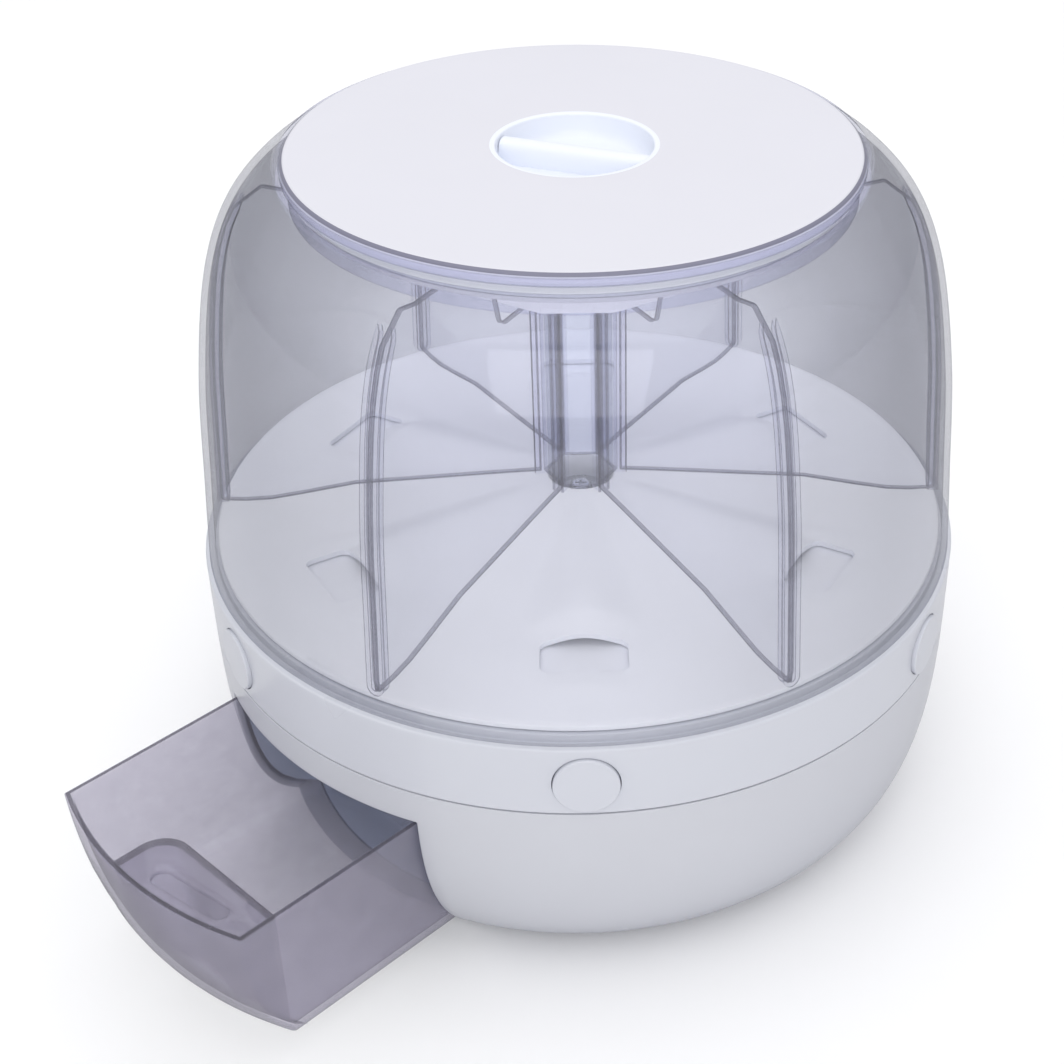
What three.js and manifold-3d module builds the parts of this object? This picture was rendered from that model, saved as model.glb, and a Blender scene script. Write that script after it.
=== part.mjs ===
// Rotating six-compartment dry-food dispenser for pets.
// A clear dome with six radial dividers turns on a round base; each compartment has a push
// button that slides a gate under its outlet, and the food drops into a clear pull-out drawer.
// Millimetres, +Z up. Origin: spin axis at the ground, on the underside of the centre foot.
// The drawer is pulled out towards the front left, which is how the object stands at rest here.
import * as THREE from 'three';
import { mergeVertices } from 'three/addons/utils/BufferGeometryUtils.js';
import Module from 'manifold-3d';

const wasm = await Module();
wasm.setup();

// ---------------------------------------------------------------- driving dimensions
const R_MAX = 149.5;            // largest radius, at the carousel ring
const H_LID = 274;              // top of the lid
const Z_SEAM = 88;              // parting line between the fixed base and the carousel
const Z_RING_TOP = 117;         // top of the white carousel ring, where the dome starts
const BOWL = { rb: 92.66, rw: 56.83, z0: 101.44, h: 101.16, n: 3.29 };   // bowl outline, superellipse
const WALL_BOWL = 2.6;
const SECTORS = 6;
const SECTOR_AZ = [0, 60, 120, 180, 240, 300];      // compartment centres, 0 = front, + towards +X
const DIVIDER_AZ = [30, 90, 150, 210, 270, 330];
const BUTTON_Z = 101.5, BUTTON_R = 11.8, BUTTON_FACE = 151, BUTTON_STROKE = 9;
const DRAWER_AZ = -45.5;        // direction of the drawer, 0 = front, + towards +X
const DRAWER_HALF = 53, DRAWER_TOP = 71, DRAWER_BOTTOM = 7.4, DRAWER_REAR = 25;
const DRAWER_OUT = 76;          // how far the drawer stands out at rest
const DRAWER_WALL = 2.2;
const OPEN_HALF = 54.2, OPEN_TOP = 73.2;
const PLATE_TOP = 7.0;
const DECK_Z = 80.3, DECK_T = 3;
const FLOOR_T = 2.2;
const DIVIDER_T = 1.8;
const SEG = 36;                 // facets round the large turned parts

const DEG = Math.PI / 180;

// ---------------------------------------------------------------- materials
const mat = (color, roughness, metalness = 0, opacity = 1) =>
  new THREE.MeshStandardMaterial({ color, roughness, metalness, opacity, transparent: opacity < 1 });
const M = {
  white: () => mat(0xe6e8ef, 0.35),
  lid: () => mat(0xf2f2f7, 0.3),
  inner: () => mat(0xd8dbe6, 0.45),
  clear: () => mat(0xd6d6e2, 0.08, 0, 0.35),
  smoke: () => mat(0x9c9ba8, 0.1, 0, 0.5),
  rubber: () => mat(0x6a6d74, 0.8),
  seal: () => mat(0xdfe2e6, 0.6),
  steel: () => mat(0xb9bcc2, 0.25, 1),
  pom: () => mat(0xeeeeea, 0.5),
};

// ---------------------------------------------------------------- solid helpers
// Welds a closed geometry, drops collapsed triangles and turns its faces outwards.
function weld(geo) {
  const g = geo.clone();
  for (const k of Object.keys(g.attributes)) if (k !== 'position') g.deleteAttribute(k);
  const m = mergeVertices(g, 1e-4);
  const p = m.attributes.position, src = m.index.array, idx = [];
  let vol = 0;
  const a = new THREE.Vector3(), b = new THREE.Vector3(), c = new THREE.Vector3();
  for (let i = 0; i < src.length; i += 3) {
    const [x, y, z] = [src[i], src[i + 1], src[i + 2]];
    if (x === y || y === z || x === z) continue;
    a.fromBufferAttribute(p, x); b.fromBufferAttribute(p, y); c.fromBufferAttribute(p, z);
    vol += a.dot(b.cross(c)) / 6;
    idx.push(x, y, z);
  }
  if (vol < 0) for (let i = 0; i < idx.length; i += 3) [idx[i + 1], idx[i + 2]] = [idx[i + 2], idx[i + 1]];
  m.setIndex(idx);
  return m;
}
function toM(geo) {
  const g = weld(geo);
  return new wasm.Manifold(new wasm.Mesh({
    numProp: 3,
    vertProperties: new Float32Array(g.attributes.position.array),
    triVerts: new Uint32Array(g.index.array),
  }));
}
function fromM(m) {
  const k = m.getMesh();
  const g = new THREE.BufferGeometry();
  const n = k.vertProperties.length / k.numProp, pos = new Float32Array(n * 3);
  for (let i = 0; i < n; i++) for (let j = 0; j < 3; j++) pos[i * 3 + j] = k.vertProperties[i * k.numProp + j];
  g.setAttribute('position', new THREE.BufferAttribute(pos, 3));
  g.setIndex(new THREE.BufferAttribute(new Uint32Array(k.triVerts), 1));
  return g;
}
const union = (list) => list.map((g) => (g.isBufferGeometry ? toM(g) : g)).reduce((a, b) => a.add(b));
const cut = (a, ...rest) => rest.reduce((m, g) => m.subtract(g.isBufferGeometry ? toM(g) : g), a.isBufferGeometry ? toM(a) : a);
const common = (a, b) => (a.isBufferGeometry ? toM(a) : a).intersect(b.isBufferGeometry ? toM(b) : b);

// Turned solid about Z from a closed list of [r, z] points.
function turned(points, seg = SEG) {
  const v = points.map(([r, z]) => new THREE.Vector2(Math.max(r, 0), z));
  if (!(points[0][0] === 0 && points[points.length - 1][0] === 0)) v.push(v[0].clone());
  return weld(new THREE.LatheGeometry(v, seg).rotateX(Math.PI / 2));
}
const box = (x0, x1, y0, y1, z0, z1) =>
  new THREE.BoxGeometry(x1 - x0, y1 - y0, z1 - z0).translate((x0 + x1) / 2, (y0 + y1) / 2, (z0 + z1) / 2);
const rod = (r, z0, z1, x = 0, y = 0, seg = 16) =>
  new THREE.CylinderGeometry(r, r, z1 - z0, seg).rotateX(Math.PI / 2).translate(x, y, (z0 + z1) / 2);
// Prism from [x, y] points, standing on z0.
function prism(points, z0, z1) {
  const s = new THREE.Shape(points.map(([x, y]) => new THREE.Vector2(x, y)));
  return new THREE.ExtrudeGeometry(s, { depth: z1 - z0, bevelEnabled: false }).translate(0, 0, z0);
}
// Plate in the radial plane of the front compartment, from [out, z] points; "out" is measured from
// the spin axis towards -Y, and the plate spans x0 to x1 sideways.
function radialPlate(points, x0, x1) {
  const s = new THREE.Shape(points.map(([o, z]) => new THREE.Vector2(o, z)));
  const g = new THREE.ExtrudeGeometry(s, { depth: x1 - x0, bevelEnabled: false }).translate(0, 0, x0);
  // local (out, z, side) -> (x = side, y = -out, z)
  return g.applyMatrix4(new THREE.Matrix4().set(0, 0, 1, 0, -1, 0, 0, 0, 0, 1, 0, 0, 0, 0, 0, 1));
}
// Bar along "out", from [side, z] points.
function outBar(points, out0, out1) {
  const s = new THREE.Shape(points.map(([x, z]) => new THREE.Vector2(x, z)));
  const g = new THREE.ExtrudeGeometry(s, { depth: out1 - out0, bevelEnabled: false }).translate(0, 0, out0);
  return g.applyMatrix4(new THREE.Matrix4().set(1, 0, 0, 0, 0, 0, -1, 0, 0, 1, 0, 0, 0, 0, 0, 1));
}
const spin = (g, az) => g.clone().rotateZ(az * DEG);
const at = (r, az) => [r * Math.sin(az * DEG), -r * Math.cos(az * DEG)];

// ---------------------------------------------------------------- profiles
function bowlR(z, off = 0) {
  const s = Math.min(1, Math.max(0, (BOWL.z0 - z) / BOWL.h)) ** (BOWL.n / 2);
  return BOWL.rb + BOWL.rw * Math.sqrt(1 - s * s) ** (2 / BOWL.n) - off;
}
// point on the bowl at height z, moved inwards along the normal by d
function bowlIn(z, d) {
  const e = 0.3, dr = bowlR(z + e) - bowlR(z - e), L = Math.hypot(dr, 2 * e);
  return [bowlR(z) - d * (2 * e) / L, z + d * dr / L];
}
const domeOuter = [[148, 117.3], [145.7, 150], [142.1, 195], [134.8, 235], [127, 253], [116.5, 264.6], [107.6, 270.9]];
const domeInner = [[145.6, 117.3], [143.3, 150], [139.7, 194.6], [132.7, 233.7], [125.3, 250.8], [115.1, 262], [106.6, 266.6]];
function innerR(z) {
  for (let i = 0; i < domeInner.length - 1; i++) {
    const [r0, z0] = domeInner[i], [r1, z1] = domeInner[i + 1];
    if (z >= z0 && z <= z1) return r0 + (r1 - r0) * (z - z0) / (z1 - z0);
  }
  return domeInner[domeInner.length - 1][0];
}
const lerpTable = (t, r) => {
  if (r <= t[0][0]) return t[0][1];
  for (let i = 0; i < t.length - 1; i++) if (r <= t[i + 1][0]) return t[i][1] + (t[i + 1][1] - t[i][1]) * (r - t[i][0]) / (t[i + 1][0] - t[i][0]);
  return t[t.length - 1][1];
};
const ridge = [[18, 135], [30, 134.2], [60, 132.2], [90, 130.2], [124, 123.6], [143.8, 123]];
const valley = [[18, 135], [30, 132.6], [60, 127.6], [90, 123], [143.8, 123]];

const parts = [];
const add = (name, geo, material) => {
  const g = (geo.isBufferGeometry ? weld(geo) : fromM(geo));
  const m = new THREE.Mesh(g, material);
  m.name = name;
  parts.push(m);
  return m;
};
const radial = (az) => new THREE.Vector3(Math.sin(az * DEG), -Math.cos(az * DEG), 0);

// ---------------------------------------------------------------- fixed base
{
  const zs = [87.6, 60, 42, 28, 16, 7.3];
  const outer = zs.map((z) => [bowlR(z), z]);
  const inner = [[bowlR(7.3) - 4.6, 7.3], ...[12, 22, 38, 70].map((z) => bowlIn(z, WALL_BOWL))];
  // ledge for the deck at the top of the inside
  const ledge = [[141.5, 78.2], [141.5, 80], [146.7, 80], [146.7, 87.6]];
  const shell = turned([...outer, ...inner, ...ledge]);
  const gap = box(-OPEN_HALF, OPEN_HALF, -170, -90, 0, OPEN_TOP);
  add('base_bowl', cut(shell, spin(gap, DRAWER_AZ)), M.white());
}
const SCREW_AZ = [20, 90, 160, 230];
const SCREW_R = 105;
{
  let plate = turned([[0, 2.2], [108, 2.2], [117, 3.2], [124, 5.0], [127.3, 6.8], [127.3, PLATE_TOP], [118, PLATE_TOP], [118, 5], [0, 5]]);
  let m = toM(plate);
  for (const az of SCREW_AZ) m = m.add(toM(rod(6, 4.5, 8, ...at(SCREW_R, az), 12)));
  for (const az of SCREW_AZ) {
    m = m.subtract(toM(rod(2.1, 0, 9, ...at(SCREW_R, az), 12)));
    m = m.subtract(toM(rod(4.3, 0, 5.6, ...at(SCREW_R, az), 12)));
  }
  m = m.subtract(toM(rod(16.4, 0, 3.3)));
  for (const az of [0, 90, 180, 270]) m = m.subtract(toM(rod(9.4, 0, 3.3, ...at(88, az), 12)));
  add('bottom_plate', m, M.white());
}
add('foot_center', rod(16, 0, 3), M.rubber());
[0, 90, 180, 270].forEach((az, i) => add(`foot_${i + 1}`, rod(9, 0, 3, ...at(88, az), 12), M.rubber()));
SCREW_AZ.forEach((az, i) => {
  const g = turned([[0, 3], [3.8, 3], [3.8, 5.3], [1.6, 5.3], [1.6, 21], [0, 21]], 8).translate(...at(SCREW_R, az), 0);
  add(`base_screw_${i + 1}`, g, M.steel());
});
{
  // deck: closes the base, carries the spindle, and lets the food through above the drawer
  let m = toM(turned([[6.5, DECK_Z], [146, DECK_Z], [146, DECK_Z + DECK_T], [13, DECK_Z + DECK_T], [13, 86], [6.5, 86]]));
  for (const az of SCREW_AZ) m = m.add(toM(rod(5.5, 8.3, DECK_Z + 0.6, ...at(SCREW_R, az), 10)));
  for (const az of SCREW_AZ) m = m.subtract(toM(rod(2, 0, 24, ...at(SCREW_R, az), 10)));
  const skirt = box(-26, 26, -126, -86, 75, DECK_Z + 0.6), hole = box(-23.5, 23.5, -123.5, -88.5, 70, 90);
  m = m.add(toM(spin(skirt, DRAWER_AZ))).subtract(toM(spin(hole, DRAWER_AZ)));
  add('base_deck', m, M.inner());
}
{
  // drawer bay: floor, two side walls and a rear wall, open to the front and the top
  const W = 56.4, T = 2;
  const body = cut(box(-W, W, -160, -(DRAWER_REAR - 3.6), 5.4, 73.4),
    box(-W + T, W - T, -170, -(DRAWER_REAR - 3.6 + T), PLATE_TOP, 80));
  // stays inside the bowl wall, and behind the rim of the bottom plate
  const zs = [12, 22, 38, 68];
  const bound = turned([[0, 5], [117.4, 5], [117.4, 7.35], [119.5, 7.35], ...zs.map((z) => bowlIn(z, WALL_BOWL + 1.8)), [141.2, 73.8], [0, 76]], SEG);
  add('drawer_bay', common(spin(fromM(body), DRAWER_AZ), bound), M.inner());
}
add('spindle_shaft', turned([[0, 76], [11, 76], [11, 80], [6.1, 80], [6.1, 124.2], [2.5, 124.2], [2.5, 110], [0, 110]], 16), M.steel());
add('glide_ring', turned([[143.4, 83.6], [145.9, 83.6], [145.9, 87.9], [143.4, 87.9]]), M.pom());
add('spindle_washer', turned([[2.8, 124.6], [11.4, 124.6], [11.4, 125.9], [2.8, 125.9]], 16), M.steel());
add('spindle_screw', turned([[0, 112], [2.1, 112], [2.1, 126.2], [4.6, 126.2], [4.6, 129.4], [0, 129.4]], 12), M.steel());

// ---------------------------------------------------------------- carousel
{
  let m = toM(turned([[R_MAX, Z_SEAM + 0.3], [R_MAX, Z_RING_TOP], [145.2, Z_RING_TOP], [145.2, 120.5], [142.6, 120.5], [142.6, 114.6], [146.8, 114.6],
    [146.8, 89.4], [143.2, 89.4], [143.2, Z_SEAM + 0.3]]));
  for (const az of SECTOR_AZ) {
    const hole = new THREE.CylinderGeometry(BUTTON_R + 0.4, BUTTON_R + 0.4, 20, 16).translate(0, -150, BUTTON_Z);
    m = m.subtract(toM(spin(hole, az)));
  }
  add('carousel_ring', m, M.white());
}
{
  // hopper floor: six shallow valleys between radial ridges, each with an outlet near its rim
  const rs = [30, 60, 90, 124];
  const prof = [[8.7, 92.3], [12.6, 92.3], [12.6, 119], [15.4, 121], [15.4, 132.8], ...rs.map((r) => [r, -1]), [143.8, 120.8], [143.8, 123],
    ...rs.slice().reverse().map((r) => [r, -2]), [17.9, 135], [12.9, 135], [12.9, 124.1], [8.7, 124.1]];
  const g = new THREE.LatheGeometry([...prof, prof[0]].map(([r, z]) => new THREE.Vector2(r, z)), SEG).rotateX(Math.PI / 2);
  const p = g.attributes.position;
  for (let i = 0; i < p.count; i++) {
    const z = p.getZ(i);
    if (z > 0) continue;
    const x = p.getX(i), y = p.getY(i), r = Math.hypot(x, y);
    let th = Math.atan2(x, -y) / DEG;
    th = Math.abs(((th + 390) % 60) - 30);                       // 0 on a ridge, 30 in mid compartment
    let w = Math.min(1, Math.max(0, th / 17)); w = w * w * (3 - 2 * w);
    const top = lerpTable(ridge, r) * (1 - w) + lerpTable(valley, r) * w;
    p.setZ(i, z === -1 ? top - FLOOR_T : top);
  }
  let m = toM(g);
  for (const az of SECTOR_AZ) {
    const rail = [[19.5, 117.8], [17.4, 117.8], [17.4, 115.6], [22.5, 115.6], [22.5, 121.6], [19.5, 121.6]];
    for (const s of [1, -1]) m = m.add(toM(spin(weld(outBar(rail.map(([x, z]) => [x * s, z]), 78, 121.5)), az)));
    m = m.add(toM(spin(box(-22.5, 22.5, -121.5, -118.5, 96, 116.5), az)));
    m = m.subtract(toM(spin(box(-16, 16, -114, -96, 118, 130), az)));
  }
  add('hopper_floor', m, M.inner());
}
add('spindle_bush', turned([[6.5, 86.4], [12.4, 86.4], [12.4, 91.9], [8.4, 91.9], [8.4, 123.7], [6.5, 123.7]], 16), M.pom());
{
  // dome: clear shell with a neck for the lid and twelve ribs that hold the dividers' edges
  let m = toM(turned([...domeOuter, [106.6, 272.5], [105.1, 272.5], [105.1, 269], [100.5, 269], [100.5, 258], [102.9, 258], [102.9, 266.2],
    ...domeInner.slice().reverse()]));
  const zs = [126, 150, 194.6, 233.7, 250.8, 256];
  const strip = [...zs.map((z) => [innerR(z) + 1, z]), ...zs.slice().reverse().map((z) => [innerR(z) - 4.2, z])];
  for (const az of DIVIDER_AZ) for (const s of [1, -1]) {
    const [x0, x1] = s > 0 ? [1.4, 3.4] : [-3.4, -1.4];
    m = m.add(toM(spin(radialPlate(strip, x0, x1), az)));
  }
  add('dome', m, M.clear());
}
{
  const hex = (a) => [0, 1, 2, 3, 4, 5].map((i) => { const R = a / Math.cos(30 * DEG), t = (30 + 60 * i) * DEG; return [R * Math.sin(t), -R * Math.cos(t)]; });
  let m = cut(prism(hex(12.9), 135.4, 226.4), prism(hex(11.2), 130, 230));
  for (const az of DIVIDER_AZ) for (const s of [1, -1]) {
    const [x0, x1] = s > 0 ? [1.3, 2.5] : [-2.5, -1.3];
    m = m.add(toM(spin(box(x0, x1, -18.4, -12.6, 135.4, 226.4), az)));
  }
  add('divider_hub', m, M.clear());
}
DIVIDER_AZ.forEach((az, i) => {
  const zs = [126.5, 150, 194.6, 233.7, 250.8];
  const pts = [[15.5, 135.6], [30, 134.8], [60, 132.8], [90, 130.8], [124, 124.2], [innerR(124.5) - 0.9, 124.1],
    ...zs.map((z) => [innerR(z) - 0.8, z]), [113.2, 259.4], [104.5, 257.4], [95, 257.4], [62, 257.4], [54.5, 226.4], [15.5, 226.4]];
  add(`divider_panel_${i + 1}`, spin(radialPlate(pts, -DIVIDER_T / 2, DIVIDER_T / 2), az), M.clear());
});

// ---------------------------------------------------------------- buttons, gates and springs
function coil(r, wire, turns, len, n, sides) {
  class Helix extends THREE.Curve {
    getPoint(t, v = new THREE.Vector3()) { const a = t * turns * 2 * Math.PI; return v.set(r * Math.cos(a), -len * t, r * Math.sin(a)); }
  }
  const s = new THREE.Shape([...Array(sides).keys()].map((k) => new THREE.Vector2(wire * Math.cos(2 * Math.PI * k / sides), wire * Math.sin(2 * Math.PI * k / sides))));
  return new THREE.ExtrudeGeometry(s, { steps: n, extrudePath: new Helix(), bevelEnabled: false });
}
SECTOR_AZ.forEach((az, i) => {
  // cap and stem, turned about the direction of travel
  const cap = new THREE.LatheGeometry([[0, 139.3], [5, 139.3], [5, 147.4], [BUTTON_R, 147.4], [BUTTON_R, 150.3], [BUTTON_R - 1, BUTTON_FACE], [0, BUTTON_FACE]]
    .map(([r, o]) => new THREE.Vector2(r, o)), 12).rotateX(Math.PI).translate(0, 0, BUTTON_Z);
  add(`button_cap_${i + 1}`, spin(weld(cap), az), M.white());
  // gate: a web behind the button and a plate with a window that slides under the outlet
  let gate = union([box(-9, 9, -139, -137, 93.5, 119.2), box(-18.9, 18.9, -139, -78, 118.1, 120.3)]);
  gate = gate.subtract(toM(box(-15.5, 15.5, -127, -115.4, 110, 125)));
  add(`gate_slide_${i + 1}`, spin(fromM(gate), az), M.pom());
  const spring = coil(4, 0.6, 3, 14.2, 18, 3).translate(0, -122.1, 104.5);
  add(`return_spring_${i + 1}`, spin(weld(spring), az), M.steel());
});

// ---------------------------------------------------------------- lid
{
  add('lid_panel', turned([[0, 262], [31, 262], [31, 271.2], [96.6, 271.2], [96.6, 261], [100, 261], [100, 262.8], [98.5, 262.8], [98.5, 269.3], [104.7, 269.3],
    [104.7, 272.8], [103.4, H_LID], [29.6, H_LID], [28.6, 273], [28.6, 264.4], [0, 264.4]]), M.lid());
  add('lid_seal', turned([[98.8, 263.2], [100.2, 263.2], [100.2, 267], [98.8, 267]]), M.seal());
  const bar = prism([[-27.8, -3.5], [-25.5, -4.5], [25.5, -4.5], [27.8, -3.5], [27.8, 3.5], [25.5, 4.5], [-25.5, 4.5], [-27.8, 3.5]], 264.7, 272.6);
  add('grip_bar', bar.rotateZ(-20 * DEG), M.lid());
  // twelve-sided well under the lid, open at the top
  const ring12 = (R0, R1, z0, z1) => {
    const g = new THREE.CylinderGeometry(R1, R0, z1 - z0, 12).rotateX(Math.PI / 2).translate(0, 0, (z0 + z1) / 2);
    return g.rotateZ(15 * DEG);
  };
  const well = cut(ring12(50, 57, 230, 261.7), ring12(47.8, 55.3, 232, 263.2));
  add('lid_well', well, M.inner());
}

// ---------------------------------------------------------------- drawer
{
  const H = DRAWER_HALF, RB = 9;                                // half width, bottom corner radius
  const section = (h, z0, r, zt) => {
    const pts = [[-h, zt]];
    for (const a of [180, 210, 240, 270]) pts.push([-h + r + r * Math.cos(a * DEG), z0 + r + r * Math.sin(a * DEG)]);
    for (const a of [270, 300, 330, 360]) pts.push([h - r + r * Math.cos(a * DEG), z0 + r + r * Math.sin(a * DEG)]);
    pts.push([h, zt]);
    return pts;
  };
  const bowlSolid = (off) => {
    const zs = [7.4, 12, 20, 32, 50, 80];
    return turned([[0, 0], ...[[bowlIn(7.4, off)[0] - (off ? 2 : 0), 0]], ...zs.map((z) => bowlIn(z, off)), [0, off ? bowlIn(80, off)[1] : 80]], 60);
  };
  const spunIn = (off) => toM(spin(bowlSolid(off), -DRAWER_AZ));
  let m = common(outBar(section(H, DRAWER_BOTTOM, RB, DRAWER_TOP), DRAWER_REAR, 170), spunIn(0.0));
  const hollow = common(outBar(section(H - DRAWER_WALL, DRAWER_BOTTOM + DRAWER_WALL, RB - 1.5, 90), DRAWER_REAR + DRAWER_WALL, 170), spunIn(DRAWER_WALL + 0.2));
  m = m.subtract(hollow);
  // finger well behind the front wall: a box with a slotted top next to the right-hand wall
  const inFront = common(outBar(section(H - 1, DRAWER_BOTTOM + 1, RB, DRAWER_TOP - 1), 60, 170), spunIn(1));
  const wellOuter = box(-11, 60, -170, -123.5, 9, DRAWER_TOP - 1), wellInner = box(-9, H - DRAWER_WALL, -170, -125.5, DRAWER_BOTTOM + DRAWER_WALL, DRAWER_TOP - 2.8);
  let box1 = common(inFront, wellOuter);
  box1 = box1.subtract(common(wellInner, spunIn(DRAWER_WALL + 0.2)));
  m = m.add(box1);
  const slot = union([rod(3.6, 60, 80, 8, -139.5, 16), rod(3.6, 60, 80, 36, -135.5, 16), prism([[8.5, -143.06], [36.5, -139.06], [35.5, -131.94], [7.5, -135.94]], 60, 80)]);
  m = m.subtract(slot);
  const g = fromM(m).rotateZ(DRAWER_AZ * DEG);
  const d = radial(DRAWER_AZ).multiplyScalar(DRAWER_OUT);
  add('drawer_tray', g.translate(d.x, d.y, 0), M.smoke());
}

const group = new THREE.Group();
for (const p of parts) group.add(p);
export default group;
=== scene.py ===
import math
import bpy
import bmesh
import numpy as np
from mathutils import Matrix, Vector


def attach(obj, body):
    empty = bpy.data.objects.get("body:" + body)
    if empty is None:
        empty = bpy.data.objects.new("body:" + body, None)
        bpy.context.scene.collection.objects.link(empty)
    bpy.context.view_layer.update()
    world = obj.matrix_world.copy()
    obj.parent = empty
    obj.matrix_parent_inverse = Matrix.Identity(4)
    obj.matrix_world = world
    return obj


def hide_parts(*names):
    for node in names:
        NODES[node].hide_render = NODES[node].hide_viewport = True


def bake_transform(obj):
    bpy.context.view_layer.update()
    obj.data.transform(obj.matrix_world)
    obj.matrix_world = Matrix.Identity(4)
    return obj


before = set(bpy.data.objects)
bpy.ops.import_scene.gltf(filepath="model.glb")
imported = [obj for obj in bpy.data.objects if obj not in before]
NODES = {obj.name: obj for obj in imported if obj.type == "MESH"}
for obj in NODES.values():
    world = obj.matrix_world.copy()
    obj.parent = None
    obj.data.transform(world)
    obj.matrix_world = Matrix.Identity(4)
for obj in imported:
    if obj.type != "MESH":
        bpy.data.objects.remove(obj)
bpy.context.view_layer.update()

MM = 0.001
DEG = math.pi / 180.0
SECTOR_AZ = [0, 60, 120, 180, 240, 300]
DIVIDER_AZ = [30, 90, 150, 210, 270, 330]
DRAWER_AZ = -45.5
DRAWER_OUT = 75.8
scene = bpy.context.scene


# =====================================================================================
# materials
# =====================================================================================
def new_mat(name):
    m = bpy.data.materials.new(name)
    m.use_nodes = True
    nt = m.node_tree
    for n in list(nt.nodes):
        nt.nodes.remove(n)
    out = nt.nodes.new("ShaderNodeOutputMaterial")
    return m, nt, out


def noise(nt, coord, scale, detail=2.0, rough=0.5):
    n = nt.nodes.new("ShaderNodeTexNoise")
    n.inputs["Scale"].default_value = scale
    n.inputs["Detail"].default_value = detail
    n.inputs["Roughness"].default_value = rough
    nt.links.new(coord, n.inputs["Vector"])
    return n


def map_range(nt, val, a, b, c, d):
    n = nt.nodes.new("ShaderNodeMapRange")
    n.inputs["From Min"].default_value = a
    n.inputs["From Max"].default_value = b
    n.inputs["To Min"].default_value = c
    n.inputs["To Max"].default_value = d
    nt.links.new(val, n.inputs["Value"])
    return n.outputs["Result"]


def mix_rgb(nt, fac, a, b):
    n = nt.nodes.new("ShaderNodeMix")
    n.data_type = "RGBA"
    nt.links.new(fac, n.inputs["Factor"])
    for sock, v in ((n.inputs["A"], a), (n.inputs["B"], b)):
        if isinstance(v, (tuple, list)):
            sock.default_value = (*v, 1.0)
        else:
            nt.links.new(v, sock)
    return n.outputs["Result"]


def bump(nt, height, strength, dist):
    n = nt.nodes.new("ShaderNodeBump")
    n.inputs["Strength"].default_value = strength
    n.inputs["Distance"].default_value = dist
    nt.links.new(height, n.inputs["Height"])
    return n.outputs["Normal"]


def facing(nt, blend=0.5):
    n = nt.nodes.new("ShaderNodeLayerWeight")
    n.inputs["Blend"].default_value = blend
    return n.outputs["Facing"]


def power(nt, val, e):
    n = nt.nodes.new("ShaderNodeMath")
    n.operation = "POWER"
    n.inputs[1].default_value = e
    nt.links.new(val, n.inputs[0])
    return n.outputs[0]


def plastic(name, base, edge, rough=(0.24, 0.32), ior=1.46, spec=0.5, coat=0.0, painted_grazing_pow=3.0,
            flow=0.010, grain=0.012, grain_scale=240.0, sss=0.0):
    """Moulded opaque plastic: a slight cloud in the colour from the melt flow, a fine grain, and painted shade towards
    grazing (the edge colour), which is a painted sheen where that colour is the lighter one, as for the rubber.
    """
    m, nt, out = new_mat(name)
    co = nt.nodes.new("ShaderNodeTexCoord").outputs["Object"]
    b = nt.nodes.new("ShaderNodeBsdfPrincipled")
    cloud = noise(nt, co, 14.0, 3.0, 0.55)
    cl = map_range(nt, cloud.outputs["Fac"], 0.3, 0.7, 0.0, 1.0)
    tone = mix_rgb(nt, cl, tuple(c * (1 - flow) for c in base), tuple(min(1.0, c * (1 + flow)) for c in base))
    # painted shade: the colour turns to the edge colour towards grazing and stands in for darker silhouettes; where the
    # edge colour is lighter it is a painted sheen
    f = power(nt, facing(nt, 0.5), painted_grazing_pow)
    col = mix_rgb(nt, f, tone, edge)
    nt.links.new(col, b.inputs["Base Color"])
    rn = noise(nt, co, 20.0, 2.0, 0.5)
    nt.links.new(map_range(nt, rn.outputs["Fac"], 0.3, 0.7, rough[0], rough[1]), b.inputs["Roughness"])
    b.inputs["IOR"].default_value = ior
    b.inputs["Specular IOR Level"].default_value = spec
    b.inputs["Coat Weight"].default_value = coat
    b.inputs["Coat Roughness"].default_value = 0.08
    fine = noise(nt, co, grain_scale, 2.0, 0.5)
    nt.links.new(bump(nt, fine.outputs["Fac"], grain, 0.00006), b.inputs["Normal"])
    nt.links.new(b.outputs["BSDF"], out.inputs["Surface"])
    return m


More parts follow.
